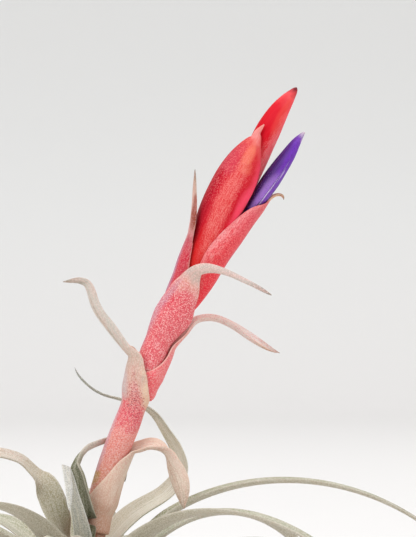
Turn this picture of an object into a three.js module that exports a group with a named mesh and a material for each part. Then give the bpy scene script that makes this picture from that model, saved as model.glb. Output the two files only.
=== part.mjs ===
import * as THREE from "three";

// Tillandsia harrisii in flower, an air plant that lies on its own foot and lowest leaves.
// Millimetres, +Z up. The origin is the middle of the foot, on the surface below it.
// X runs to the right and Y away from the viewer, so the front of the plant faces -Y.

const THICKNESS = 0.6; // of every leaf and bract
const CLEARANCE = 0.3; // between two pieces that hug each other
const LAYER = THICKNESS + CLEARANCE;
const LAYER_RISE = 4; // the height over which a sheath makes room for a younger one inside it
const GOLDEN_ANGLE = 137.508;

const LEAF_COUNT = 22; // of the rosette, besides the four youngest, which are shaped by hand
const LEAF_LENGTH = 98;
const LEAF_HALF_WIDTH = 7.5; // at the base of the oldest leaf
const YOUNG_LEAF_HALF_WIDTH = 5.4;
const LEAF_TIP_HALF_WIDTH = 0.4;
const LEAF_SHEATH_EXTRA = 1.8; // more half width where an old leaf clasps the core
const LEAF_FIRST_HEIGHT = 3; // where the lowest leaf leaves the core
const LEAF_LAST_HEIGHT = 34;
const LEAF_RISE = 47; // degrees above the surface, where a leaf starts
const YOUNG_LEAF_FALL = 97; // degrees that a leaf bends down on its way to the tip
const OLD_LEAF_FALL = 130;
const LEAF_CHANNEL = 38; // degrees, half the angle of the gutter across a leaf
const LENGTH_SPREAD = 0.06; // the share by which the leaves differ in length
const FALL_SPREAD = 6; // degrees by which they differ in bend
const SWEEP_SPREAD = 9; // degrees by which a leaf sweeps sideways
const TURN_FREE_FROM = 9; // the distance where a leaf starts to turn free of the core
const TURN_FREE_SPAN = 14;
const OPEN_FROM = 8; // the distance where its curve round the core opens into the gutter
const OPEN_SPAN = 12;
const FLATTEST_RADIUS = 60; // of the curve across a leaf
const SHAPED_START = 4; // the distance that a shaped leaf counts as at its foot
const SHAPED_HURRY = 2; // how much sooner a shaped leaf turns free of the core

const BRACT_COLUMNS = 12;
const LEAF_COLUMNS = 4;
const ROSETTE_ROWS = 10;
const SHAPED_ROWS = 22;
const ROW_BUNCHING = 1.12; // rows of a leaf stand closer near its foot

const STEM_TOP = 126;
const STEM_SIDES = 12;

const PETALS = 3;
const PETAL_SIDES = 5;
const BUD_SIDES = PETALS * PETAL_SIDES;
const BUD_ROWS = 12;
const BUD_RADIUS = 2.4;
const BUD_TWIST = 60; // degrees that the rolled petals turn from foot to tip
const BUD_PETAL_STEP = 0.42; // how far one petal's edge stands off the next

const SILVER_LEAF = new THREE.MeshStandardMaterial({ color: 0xa9ad9c, roughness: 0.8, metalness: 0 });
const SCAPE_BRACT = new THREE.MeshStandardMaterial({ color: 0xd6a58f, roughness: 0.6, metalness: 0 });
const FLORAL_BRACT = new THREE.MeshStandardMaterial({ color: 0xb5382f, roughness: 0.5, metalness: 0 });
const PETAL = new THREE.MeshStandardMaterial({ color: 0x8571a6, roughness: 0.45, metalness: 0 });
const STEM = new THREE.MeshStandardMaterial({ color: 0xb98a72, roughness: 0.7, metalness: 0 });

const radians = THREE.MathUtils.degToRad;
const clamp01 = (value) => Math.min(1, Math.max(0, value));
const mix = (a, b, share) => a + (b - a) * share;
const ease = (share) => {
  const t = clamp01(share);
  return t * t * (3 - 2 * t);
};

// A smooth line through [place, value] pairs.
function along(pairs, place) {
  const last = pairs.length - 1;
  if (place <= pairs[0][0]) return pairs[0][1];
  if (place >= pairs[last][0]) return pairs[last][1];
  let i = 0;
  while (place > pairs[i + 1][0]) i += 1;
  const slope = (k) => {
    const a = pairs[Math.max(0, k - 1)];
    const b = pairs[Math.min(last, k + 1)];
    return (b[1] - a[1]) / (b[0] - a[0]);
  };
  const [x0, y0] = pairs[i];
  const [x1, y1] = pairs[i + 1];
  const span = x1 - x0;
  const t = (place - x0) / span;
  const t2 = t * t;
  const t3 = t2 * t;
  return (
    (2 * t3 - 3 * t2 + 1) * y0 +
    (t3 - 2 * t2 + t) * span * slope(i) +
    (3 * t2 - 2 * t3) * y1 +
    (t3 - t2) * span * slope(i + 1)
  );
}

// The stem: a leafy core that narrows into a scape leaning to the right.
const STEM_LEAN = [
  [0, 0],
  [24, 0],
  [40, 0.9],
  [58, 5],
  [72.5, 10.5],
  [84.5, 15.1],
  [94, 19],
  [104, 24.6],
  [114.5, 29.8],
  [123.5, 34.2],
  [131, 38.2],
  [138.5, 42.6],
  [146, 47.6],
  [156, 54.5],
];
const STEM_RADIUS = [
  [0, 6.5],
  [2, 7],
  [20, 5.6],
  [38, 3.4],
  [46, 2.8],
  [58, 2.5],
  [70, 2.7],
  [77, 2.5],
  [80, 2.95],
  [84, 2.6],
  [88, 2.45],
  [92, 2.2],
  [99, 2],
  [103, 1.9],
  [107, 1.5],
  [115, 1.2],
  [126, 0.8],
];

function stemFrame(height) {
  const x = along(STEM_LEAN, height);
  const slope = along(STEM_LEAN, height + 0.5) - along(STEM_LEAN, height - 0.5);
  const up = new THREE.Vector3(slope, 0, 1).normalize();
  const front = new THREE.Vector3(0, -1, 0);
  const right = new THREE.Vector3().crossVectors(up, front);
  return { centre: new THREE.Vector3(x, 0, height), up, front, right };
}

// The direction out of the stem at an azimuth: 0 is right, 90 front, 180 left, 270 back.
function outward(frame, azimuth) {
  const turn = radians(azimuth);
  return frame.right
    .clone()
    .multiplyScalar(Math.cos(turn))
    .addScaledVector(frame.front, Math.sin(turn));
}

// Every leaf and bract is a row of arcs. Each arc has a middle, a direction across, a direction
// inward to its centre, an inner radius and half the angle that it covers.
function arcPoint(row, share, offset) {
  const angle = row.half * share;
  const radius = row.radius + offset;
  return row.middle
    .clone()
    .addScaledVector(row.inward, -offset)
    .addScaledVector(row.across, radius * Math.sin(angle))
    .addScaledVector(row.inward, radius * (1 - Math.cos(angle)));
}

// A closed blade of even thickness from its rows: inner face, outer face and the rim between.
function blade(rows, columns) {
  const positions = [];
  const width = columns + 1;
  for (const offset of [0, THICKNESS]) {
    for (const row of rows) {
      for (let c = 0; c <= columns; c += 1) {
        const p = arcPoint(row, (2 * c) / columns - 1, offset);
        positions.push(p.x, p.y, Math.max(0, p.z));
      }
    }
  }
  const outer = rows.length * width;
  const faces = [];
  const quad = (a, b, c, d) => faces.push(a, b, c, a, c, d);
  for (let r = 0; r < rows.length - 1; r += 1) {
    for (let c = 0; c < columns; c += 1) {
      const a = r * width + c;
      const b = a + 1;
      const d = a + width;
      const e = d + 1;
      quad(a, b, e, d);
      faces.push(outer + a, outer + e, outer + b, outer + a, outer + d, outer + e);
    }
    const left = r * width;
    const right = left + columns;
    quad(left, left + width, outer + left + width, outer + left);
    quad(right, outer + right, outer + right + width, right + width);
  }
  for (let c = 0; c < columns; c += 1) {
    const end = (rows.length - 1) * width + c;
    quad(c, outer + c, outer + c + 1, c + 1);
    quad(end, end + 1, outer + end + 1, outer + end);
  }
  return solid(positions, faces);
}

function solid(positions, faces) {
  const geometry = new THREE.BufferGeometry();
  geometry.setAttribute("position", new THREE.Float32BufferAttribute(positions, 3));
  geometry.setIndex(faces);
  geometry.computeVertexNormals();
  return geometry;
}

// Carries the inward direction of the first row along a path, then turns it about the path.
function carryFrames(points, firstTangent, firstInward, twist) {
  const frames = [];
  let tangent = firstTangent.clone();
  let inward = firstInward.clone();
  for (let i = 0; i < points.length; i += 1) {
    const before = points[Math.max(0, i - 1)];
    const after = points[Math.min(points.length - 1, i + 1)];
    const next = after.clone().sub(before).normalize();
    const swing = new THREE.Quaternion().setFromUnitVectors(tangent, next);
    inward.applyQuaternion(swing);
    inward.addScaledVector(next, -inward.dot(next)).normalize();
    tangent = next;
    const turned = inward.clone().applyAxisAngle(next, radians(twist(i / (points.length - 1))));
    const across = new THREE.Vector3().crossVectors(next, turned);
    frames.push({ tangent: next, inward: turned, across });
  }
  return frames;
}

// The bracts from the lowest up, with the height where each one leaves the stem.
const BRACT_FOOT = {
  peach: 44,
  left: 52,
  behind: 79,
  front: 84,
  upper: 95,
  rightFloral: 98,
  frontFloral: 106,
  topFloral: 112,
};
const BRACT_ORDER = Object.keys(BRACT_FOOT);

// The inner radius of a sheath leaves room for every younger sheath inside it.
function sheathRadius(name, height) {
  const inner = BRACT_ORDER.slice(BRACT_ORDER.indexOf(name) + 1);
  let layers = 0;
  for (const other of inner) layers += ease((height - BRACT_FOOT[other]) / LAYER_RISE + 1);
  return along(STEM_RADIUS, height) + CLEARANCE + LAYER * layers;
}

// A bract is a sheath wrapped on the stem that narrows into a free blade.
// wrap: [height, half angle] pairs. shift: [height, to the right] pairs, and radius and
// azimuth can be pairs too. points: where the blade's midrib runs after the sheath.
function bractRows(bract) {
  const low = bract.wrap[0][0];
  const high = bract.wrap[bract.wrap.length - 1][0];
  const rows = [];
  const count = bract.sheathRows;
  for (let i = 0; i <= count; i += 1) {
    const height = mix(low, high, i / count);
    const frame = stemFrame(height);
    const azimuth = along(bract.azimuth, height);
    const out = outward(frame, azimuth);
    const swell = bract.swell ? along(bract.swell, height) : 0;
    const hugging = sheathRadius(bract.name, height) + swell;
    const radius = bract.radius ? along(bract.radius, height) : hugging;
    const centre = frame.centre.clone();
    if (bract.shift) centre.addScaledVector(frame.right, along(bract.shift, height));
    if (bract.forward) centre.addScaledVector(frame.front, along(bract.forward, height));
    const middle = centre.addScaledVector(out, radius);
    const inward = out.clone().negate();
    const across = new THREE.Vector3().crossVectors(frame.up, inward);
    rows.push({ middle, inward, across, radius, half: radians(along(bract.wrap, height)) });
  }
  const lastRow = rows[count];
  const path = new THREE.CatmullRomCurve3(
    [
      rows[count - 1].middle,
      lastRow.middle,
      ...bract.points.map((p) => new THREE.Vector3(...p)),
    ],
    false,
    "centripetal",
  );
  const skip = rows[count - 1].middle.distanceTo(lastRow.middle) / path.getLength();
  const places = [];
  for (let i = 1; i <= bract.bladeRows; i += 1) {
    places.push(path.getPointAt(mix(skip, 1, i / bract.bladeRows)));
  }
  const leaving = path.getTangentAt(skip);
  const inward = lastRow.inward.clone();
  inward.addScaledVector(leaving, -inward.dot(leaving)).normalize();
  const twist = (share) => along(bract.twist ?? [[0, 0], [1, 0]], share);
  const frames = carryFrames([lastRow.middle, ...places], leaving, inward, twist);
  const mouthHalf = lastRow.radius * lastRow.half;
  places.forEach((middle, i) => {
    const share = (i + 1) / places.length;
    const halfWidth = along([[0, mouthHalf], ...bract.halfWidths], share);
    const opening = bract.channel.map(([place, angle]) => [place, radians(angle)]);
    const channel = along([[0, lastRow.half], ...opening], share);
    const { inward: turned, across } = frames[i + 1];
    rows.push({ middle, inward: turned, across, radius: halfWidth / channel, half: channel });
  });
  return rows;
}

const SCAPE_BRACTS = [
  {
    node: "peach_scape_bract",
    name: "peach",
    azimuth: [[44, 15], [50, 12], [54, 10], [58, 3], [60.7, -5], [62.85, -9], [65.6, -15]],
    wrap: [
      [44, 165], [50, 155], [54, 120], [58, 93], [60.7, 84], [62.85, 74], [64.4, 59],
      [65.6, 47],
    ],
    sheathRows: 8,
    bladeRows: 10,
    points: [
      [13.2, 0.6, 64.8], [15.6, 0.2, 65.5], [18, -0.3, 64.9], [19.8, -0.8, 63.5],
      [20.9, -1.5, 60.5], [22.3, -2.3, 57.7], [23.4, -3.2, 54.5], [24.2, -4, 50],
    ],
    halfWidths: [[0.1, 3.1], [0.35, 2.8], [0.7, 2.7], [0.9, 1.5], [1, 0.45]],
    channel: [[0.3, 58], [0.7, 52], [1, 35]],
    twist: [[0, 0], [0.2, 0], [0.3, -12], [0.39, -45], [0.5, -72], [0.67, -95], [1, -100]],
  },
  {
    node: "left_scape_bract",
    name: "left",
    azimuth: [[52, 176], [86, 172]],
    wrap: [[52, 165], [73, 162], [76, 150], [77.8, 135], [80, 108], [83, 86], [86, 60]],
    swell: [[74, 0], [78, 0.2], [83, 0.3], [86, 0.6]],
    sheathRows: 10,
    bladeRows: 11,
    points: [
      [9.6, -1.2, 89.4], [6.5, -1.8, 93.4], [4.6, -2.1, 96], [2.7, -2.3, 98.6],
      [1.4, -2.4, 101.2], [0.7, -2.5, 103.8], [-0.2, -2.5, 106], [-2.2, -2.5, 106.9],
      [-6.2, -2.4, 106.8],
    ],
    halfWidths: [
      [0.1, 2.7], [0.2, 2.2], [0.32, 2.15], [0.45, 1.85], [0.6, 1.7], [0.75, 1.4], [0.88, 0.9],
      [1, 0.35],
    ],
    channel: [[0.2, 62], [0.7, 62], [1, 40]],
    twist: [[0, 0], [0.3, 30], [1, 40]],
  },
  {
    node: "behind_scape_bract",
    name: "behind",
    azimuth: [[77.8, -2], [79, -10], [82, -22], [96, -22]],
    wrap: [
      [77.8, 36], [78.8, 64], [80, 96], [81.2, 128], [82.6, 143], [85, 100], [88, 68],
      [91.5, 52], [96, 37],
    ],
    swell: [
      [77.8, 0], [79, 0.2], [80.5, 0.1], [82, 0], [85, 0.1], [89, 0.4], [92, 0.35], [96, 0.4],
    ],
    sheathRows: 14,
    bladeRows: 10,
    points: [
      [26.8, 2.6, 96.6], [29.5, 3.4, 97.3], [32.2, 4, 97.1], [36, 4.9, 95.4], [40.1, 5.8, 92.7],
      [44.6, 6.6, 90.2], [48.2, 7, 88.9],
    ],
    halfWidths: [[0.15, 2.1], [0.3, 2.3], [0.5, 2.6], [0.7, 2.5], [0.88, 1.6], [1, 0.4]],
    channel: [[0.2, 60], [0.7, 50], [1, 36]],
    twist: [[0, 0], [0.45, 0], [0.7, 12], [1, 16]],
  },
  {
    node: "front_scape_bract",
    name: "front",
    azimuth: [[84, 102], [96, 103], [107, 99]],
    wrap: [[84, 165], [93, 152], [97.5, 112], [101.2, 66], [103, 50], [105.3, 36], [107, 26]],
    swell: [[84, 0.1], [90, 0.25], [96, 0.2], [100, 0.45], [103, 0.85], [107, 1]],
    shift: [[84, 0], [87, -0.15], [91, -0.3], [95, -0.1], [98, 0.1], [102, 0.2], [107, 0.35]],
    sheathRows: 8,
    bladeRows: 11,
    points: [
      [27.4, -7.9, 109.4], [30.2, -9, 109.9], [34.2, -9.9, 109.1], [39.4, -10.3, 106.8],
      [42.4, -10.4, 105.3], [45.8, -10.4, 103.4],
    ],
    halfWidths: [[0.14, 1.5], [0.28, 1.2], [0.45, 0.75], [0.65, 0.55], [0.85, 0.42], [1, 0.35]],
    channel: [[0.2, 46], [0.7, 40], [1, 40]],
  },
  {
    node: "upper_scape_bract",
    name: "upper",
    azimuth: [[95, 178], [108, 170], [115, 160]],
    wrap: [[95, 110], [100, 94], [105, 76], [108, 62], [111.5, 42], [115, 26]],
    radius: [[95, 2.3], [99, 3.2], [103, 3.85], [107, 4.3], [110, 4.95], [115, 5.55]],
    shift: [[95, 0], [99, -0.1], [102, -0.4], [105, -0.4], [108, -0.35], [112, -0.1], [115, 0]],
    sheathRows: 7,
    bladeRows: 9,
    points: [
      [25.6, -2.8, 118.6], [26.2, -3.2, 122], [26.6, -3.2, 126], [26.8, -3, 130.5],
      [27, -3, 134.6],
    ],
    halfWidths: [[0.3, 1.7], [0.5, 1.1], [0.7, 0.6], [0.85, 0.42], [1, 0.3]],
    channel: [[0.3, 40], [0.6, 55], [1, 50]],
    twist: [[0, 0], [1, 20]],
  },
];

const FLORAL_BRACTS = [
  {
    node: "right_floral_bract",
    name: "rightFloral",
    azimuth: [[98, 4], [125, 4], [130.2, -18]],
    wrap: [
      [98, 140], [101, 106], [108, 104], [116, 106], [121, 101], [124.8, 94], [126.6, 89],
      [128.5, 78], [130.2, 32],
    ],
    radius: [
      [98, 2.25], [102.5, 2.8], [108, 3.6], [114, 4], [120, 3.8], [124, 3.2], [128, 2.85],
      [130.2, 2.8],
    ],
    shift: [
      [98, 0.1], [102.5, 0.9], [108, 1.2], [114, 1.4], [120, 2.7], [124, 3.85], [128, 4.85],
      [130.2, 5],
    ],
    forward: [[98, 0], [108, 0.5], [114, 1.1], [120, 1.6], [124, 1.2], [130.2, 0.6]],
    sheathRows: 11,
    bladeRows: 4,
    points: [[46.1, 0.6, 128.1], [47.8, 0.6, 128.6], [48.8, 0.5, 128.2], [49.2, 0.4, 127.2]],
    halfWidths: [[0.3, 0.85], [0.6, 0.55], [1, 0.32]],
    channel: [[0.5, 50], [1, 50]],
  },
  {
    node: "front_floral_bract",
    name: "frontFloral",
    azimuth: [[106, 120], [114, 112], [140, 112]],
    wrap: [
      [106, 140], [110, 110], [116, 92], [124, 84], [132, 82], [136, 74], [139, 58], [141, 38],
    ],
    radius: [
      [106, 2.2], [110, 3.4], [116, 4.1], [120, 4.7], [127, 5.15], [132, 5.1], [136, 4.3],
      [139, 3.1], [141, 2.1],
    ],
    shift: [
      [106, -0.1], [110, -0.4], [116, -0.6], [120, -0.85], [124, -1.1], [132, -1.2],
      [137, -1.4], [141, -1.9],
    ],
    forward: [[106, 0], [116, 0.1], [124, 0.6], [141, 0.4]],
    sheathRows: 12,
    bladeRows: 3,
    points: [[42.2, -2.2, 143.6], [44.1, -2.2, 145.8]],
    halfWidths: [[0.3, 0.75], [0.55, 0.5], [0.75, 0.34], [1, 0.22]],
    channel: [[0.5, 50], [1, 45]],
  },
  {
    node: "top_floral_bract",
    name: "topFloral",
    azimuth: [[112, 235], [124, 190], [136, 150], [150, 130]],
    wrap: [[112, 120], [122, 130], [130, 148], [140, 142], [146, 112], [151, 80], [153.6, 50]],
    radius: [
      [112, 1.6], [118, 2], [125, 2.4], [131, 2.6], [143, 2.7], [147, 2.4], [150, 1.9],
      [152.5, 1.35], [153.6, 0.95],
    ],
    shift: [
      [112, 0], [118, -0.05], [125, 0.3], [131, 0.7], [137, 0], [143, -1], [149, -1.35],
      [153.6, -0.8],
    ],
    forward: [[112, -0.2], [118, -0.4], [125, -0.9], [137, -1.8], [143, -1.5], [153.6, -0.8]],
    sheathRows: 14,
    bladeRows: 2,
    points: [[52.3, 0.2, 155]],
    halfWidths: [[0.5, 0.8], [1, 0.5]],
    channel: [[0.5, 50], [1, 45]],
  },
];

const leafAge = (index) => 1 - index / (LEAF_COUNT - 1);

// The radius where a leaf's flat strips just clear the core.
function wrapRadius(foot, halfWidth) {
  const core = along(STEM_RADIUS, foot) + 1.2 * CLEARANCE;
  return core / Math.cos(halfWidth / core / LEAF_COLUMNS);
}

// The rosette. Leaves follow one another round the core at the golden angle, from the foot up.
// Each leaf starts wrapped on the core, rises, and recurves; the lowest come down to the surface.
function leafPath(index) {
  const age = leafAge(index);
  const foot = mix(LEAF_FIRST_HEIGHT, LEAF_LAST_HEIGHT, Math.pow(1 - age, 0.9));
  const azimuth = index * GOLDEN_ANGLE;
  const length = LEAF_LENGTH * (1 - 0.16 * age + LENGTH_SPREAD * Math.sin(index * 2.4));
  const bend = mix(YOUNG_LEAF_FALL, OLD_LEAF_FALL, Math.pow(age, 1.6));
  const fall = bend + FALL_SPREAD * Math.sin(index * 1.7);
  const sweep = SWEEP_SPREAD * Math.sin(index * 2.9);
  const steps = 40;
  const points = [];
  const base = mix(YOUNG_LEAF_HALF_WIDTH, LEAF_HALF_WIDTH, age);
  let reach = wrapRadius(foot, leafHalfWidth(0, base));
  const core = along(STEM_LEAN, foot);
  let height = foot;
  for (let i = 0; i <= steps; i += 1) {
    const share = i / steps;
    const turn = radians(azimuth + sweep * share * share);
    points.push(new THREE.Vector3(core + reach * Math.cos(turn), reach * Math.sin(turn), height));
    const free = LEAF_RISE - fall * Math.pow(Math.max(0, share - 0.08) / 0.92, 0.9);
    const landing = -THREE.MathUtils.radToDeg(Math.asin(clamp01((height - THICKNESS) / 12)));
    const angle = radians(Math.max(free, landing));
    reach += (length / steps) * Math.cos(angle);
    height += (length / steps) * Math.sin(angle);
  }
  return points;
}

function leafHalfWidth(share, base) {
  const sheath = LEAF_SHEATH_EXTRA * Math.pow(base / LEAF_HALF_WIDTH, 2) * (1 - ease(share / 0.16));
  return mix(LEAF_TIP_HALF_WIDTH, base, Math.pow(1 - share, 0.85)) + sheath;
}

// A leaf hugs the core at its foot and turns free as it gets away, with hurry close to its foot.
function leafRows(controls, widthAt, twist, rowCount, channel, hurry) {
  const core = new THREE.Vector3(along(STEM_LEAN, controls[0].z), 0, 0);
  const path = new THREE.CatmullRomCurve3(controls, false, "centripetal");
  const places = [];
  const bunched = (i) => Math.pow(i / rowCount, ROW_BUNCHING);
  for (let i = 0; i <= rowCount; i += 1) places.push(path.getPointAt(bunched(i)));
  const length = path.getLength();
  const start = path.getTangentAt(0);
  const home = core.clone().sub(places[0]).setZ(0).normalize();
  const inward = home.clone().addScaledVector(start, -home.dot(start)).normalize();
  const frames = carryFrames(places, start, inward, twist);
  return places.map((middle, i) => {
    const share = bunched(i);
    const halfWidth = widthAt(share);
    const toCore = core.clone().sub(middle).setZ(0);
    const reach = toCore.length();
    const way = hurry ? SHAPED_START + hurry * share * length : reach;
    const free = ease((way - TURN_FREE_FROM) / TURN_FREE_SPAN);
    toCore.normalize();
    const round = new THREE.Vector3().crossVectors(new THREE.Vector3(0, 0, 1), toCore);
    const turned = toCore.lerp(frames[i].inward, free).normalize();
    const across = round.lerp(frames[i].across, free).normalize();
    const open = halfWidth / radians(channel);
    const opened = ease((way - OPEN_FROM) / OPEN_SPAN);
    const radius = mix(reach, Math.min(open, FLATTEST_RADIUS), opened);
    return { middle, inward: turned, across, radius, half: halfWidth / radius };
  });
}

const SHAPED_LEAVES = {
  rounded_leaf: {
    foot: 36,
    azimuth: -100,
    points: [
      [-1.4, -9, 46], [-3.2, -12, 54], [-4.2, -14, 58.9], [-5, -16.2, 61.3],
      [-4.8, -18.6, 60.2], [-4.2, -22.5, 57], [-3.8, -30, 51],
    ],
    halfWidths: [[0, 3.1], [0.15, 2.4], [0.4, 1.6], [0.55, 1.25], [0.65, 1.1], [0.8, 1], [1, 0.4]],
    channel: 8,
    twist: [[0, 0], [0.4, -8], [0.6, -22], [1, -22]],
  },
  far_left_leaf: {
    foot: 38,
    azimuth: 190,
    points: [
      [-7.4, -2, 47], [-9.3, -2.6, 53], [-11, -2.8, 56.2], [-12.6, -3, 58], [-14.2, -3.2, 59.7],
      [-15.6, -3.4, 61.2], [-16.9, -3.6, 62.2], [-18.6, -3.9, 62.9], [-22, -4.4, 63.7],
      [-30, -5.6, 63.2], [-42, -7.4, 57.5], [-54, -9.2, 48], [-65, -11, 35],
    ],
    halfWidths: [
      [0, 5.5], [0.12, 3.8], [0.24, 3.2], [0.29, 2.7], [0.4, 2.5], [0.5, 2.4], [0.8, 1.5],
      [1, 0.4],
    ],
    channel: 38,
    twist: [[0, 0], [0.12, -40], [0.2, -80], [0.24, -82], [0.27, -60], [0.3, -28], [1, -28]],
  },
  long_leaf: {
    foot: 40,
    azimuth: 30,
    points: [
      [11, 7, 47.6], [20, 11, 53.6], [23.4, 12.2, 58.6], [22.4, 12.6, 64], [19.4, 12.4, 69],
      [16.4, 11.8, 73.2], [12.8, 11, 75.5], [7.8, 10.2, 76.8], [3.7, 9.4, 77.9], [1.2, 9, 79.2],
      [-0.6, 8.7, 80.6], [-2, 8.5, 82], [-3.1, 8.4, 83.4], [-3.8, 8.4, 84.9],
    ],
    halfWidths: [
      [0, 6], [0.12, 4.6], [0.25, 3.8], [0.4, 2.9], [0.5, 2.3], [0.58, 1.7], [0.64, 1.4],
      [0.72, 0.9], [0.8, 0.5], [1, 0.4],
    ],
    channel: 38,
    twist: [[0, 0], [0.2, 20], [0.5, 20], [1, 0]],
  },
  curled_leaf: {
    foot: 42,
    azimuth: -135,
    points: [
      [-0.4, -6.5, 50], [-0.9, -6.6, 55], [-1.5, -6.5, 58.1], [-2.1, -6.2, 59.5],
      [-2.6, -5.7, 60.6], [-2.2, -4.9, 61.9], [-1.6, -3.8, 63.3], [-0.4, -2.3, 64.7],
      [1, -0.6, 65.5], [2.8, 1.6, 66.2], [4.3, 3.4, 66.6], [7, 6.4, 66.6], [8.2, 9.5, 65.4],
      [8.7, 14, 61.6], [8.8, 20, 56],
    ],
    halfWidths: [
      [0, 3.2], [0.2, 2.7], [0.35, 2.5], [0.45, 1.9], [0.52, 1.5], [0.75, 1.2], [1, 0.4],
    ],
    channel: 60,
    twist: [[0, 0], [0.1, -60], [0.2, -150], [0.3, -182], [0.45, -190], [0.6, -182], [1, -180]],
  },
};

const STEM_HEIGHTS = [
  0, 2, 8, 14, 20, 26, 32, 38, 44, 50, 56, 62, 68, 74, 79, 84, 90, 96, 101, 105, 110, 118, STEM_TOP,
];

function stemGeometry() {
  const positions = [];
  for (const height of STEM_HEIGHTS) {
    const frame = stemFrame(height);
    if (height === 0) frame.right.set(1, 0, 0);
    const radius = along(STEM_RADIUS, height);
    for (let s = 0; s < STEM_SIDES; s += 1) {
      const p = frame.centre.clone().addScaledVector(outward(frame, (360 * s) / STEM_SIDES), radius);
      positions.push(p.x, p.y, p.z);
    }
  }
  const faces = [];
  for (let r = 0; r < STEM_HEIGHTS.length - 1; r += 1) {
    for (let s = 0; s < STEM_SIDES; s += 1) {
      const a = r * STEM_SIDES + s;
      const b = r * STEM_SIDES + ((s + 1) % STEM_SIDES);
      faces.push(a, b + STEM_SIDES, b, a, a + STEM_SIDES, b + STEM_SIDES);
    }
  }
  const top = (STEM_HEIGHTS.length - 1) * STEM_SIDES;
  for (let s = 1; s < STEM_SIDES - 1; s += 1) {
    faces.push(0, s, s + 1);
    faces.push(top, top + s + 1, top + s);
  }
  return solid(positions, faces);
}

// The bud: three petals rolled into a tube, each with one edge lying over the next.
const BUD_PATH = [
  [36.6, -0.7, 118.5],
  [39.5, -0.8, 122.8],
  [43.1, -0.9, 128],
  [45.4, -0.9, 131.3],
  [47.8, -0.9, 134.8],
  [50.1, -0.9, 138.2],
  [52.1, -0.9, 141.4],
  [54.1, -0.9, 144],
];
const BUD_GIRTH = [
  [0, 0.38],
  [0.12, 0.54],
  [0.25, 0.7],
  [0.37, 0.91],
  [0.5, 1.02],
  [0.63, 0.95],
  [0.77, 0.78],
  [0.89, 0.52],
  [0.96, 0.28],
  [1, 0.1],
];

function budGeometry() {
  const controls = BUD_PATH.map((p) => new THREE.Vector3(...p));
  const path = new THREE.CatmullRomCurve3(controls, false, "centripetal");
  const places = [];
  for (let r = 0; r <= BUD_ROWS; r += 1) places.push(path.getPointAt(r / BUD_ROWS));
  const front = new THREE.Vector3(0, -1, 0);
  const frames = carryFrames(places, path.getTangentAt(0), front, (share) => BUD_TWIST * share);
  const positions = [];
  places.forEach((place, r) => {
    const girth = along(BUD_GIRTH, r / BUD_ROWS);
    for (let s = 0; s < BUD_SIDES; s += 1) {
      const turn = (2 * Math.PI * s) / BUD_SIDES;
      const petal = (s % PETAL_SIDES) / (PETAL_SIDES - 1);
      const radius = girth * (BUD_RADIUS - BUD_PETAL_STEP * (1 - petal));
      const p = place
        .clone()
        .addScaledVector(frames[r].inward, radius * Math.cos(turn))
        .addScaledVector(frames[r].across, radius * Math.sin(turn));
      positions.push(p.x, p.y, p.z);
    }
  });
  const faces = [];
  for (let r = 0; r < BUD_ROWS; r += 1) {
    for (let s = 0; s < BUD_SIDES; s += 1) {
      const a = r * BUD_SIDES + s;
      const b = r * BUD_SIDES + ((s + 1) % BUD_SIDES);
      faces.push(a, b, b + BUD_SIDES, a, b + BUD_SIDES, a + BUD_SIDES);
    }
  }
  const top = BUD_ROWS * BUD_SIDES;
  for (let s = 1; s < BUD_SIDES - 1; s += 1) {
    faces.push(0, s + 1, s);
    faces.push(top, top + s, top + s + 1);
  }
  return solid(positions, faces);
}

const group = new THREE.Group();

function addPiece(name, geometry, material) {
  const mesh = new THREE.Mesh(geometry, material);
  mesh.name = name;
  group.add(mesh);
}

addPiece("stem", stemGeometry(), STEM);
for (const bract of SCAPE_BRACTS) {
  addPiece(bract.node, blade(bractRows(bract), BRACT_COLUMNS), SCAPE_BRACT);
}
for (const bract of FLORAL_BRACTS) {
  addPiece(bract.node, blade(bractRows(bract), BRACT_COLUMNS), FLORAL_BRACT);
}
addPiece("flower_bud", budGeometry(), PETAL);
const noTwist = () => 0;
for (let i = 0; i < LEAF_COUNT; i += 1) {
  const name = "leaf_" + String(i + 1).padStart(2, "0");
  const base = mix(YOUNG_LEAF_HALF_WIDTH, LEAF_HALF_WIDTH, leafAge(i));
  const widthAt = (share) => leafHalfWidth(share, base);
  const rows = leafRows(leafPath(i), widthAt, noTwist, ROSETTE_ROWS, LEAF_CHANNEL, 0);
  addPiece(name, blade(rows, LEAF_COLUMNS), SILVER_LEAF);
}
for (const [name, leaf] of Object.entries(SHAPED_LEAVES)) {
  const widthAt = (share) => along(leaf.halfWidths, share);
  const reach = wrapRadius(leaf.foot, widthAt(0));
  const turn = radians(leaf.azimuth);
  const core = along(STEM_LEAN, leaf.foot);
  const start = [core + reach * Math.cos(turn), reach * Math.sin(turn), leaf.foot];
  const controls = [start, ...leaf.points].map((p) => new THREE.Vector3(...p));
  const twist = (share) => along(leaf.twist, share);
  const rows = leafRows(controls, widthAt, twist, SHAPED_ROWS, leaf.channel, SHAPED_HURRY);
  addPiece(name, blade(rows, LEAF_COLUMNS), SILVER_LEAF);
}

export default group;
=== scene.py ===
import math
from bisect import bisect
from collections import namedtuple
from itertools import accumulate

import bmesh
import bpy
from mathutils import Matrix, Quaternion, Vector


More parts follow.
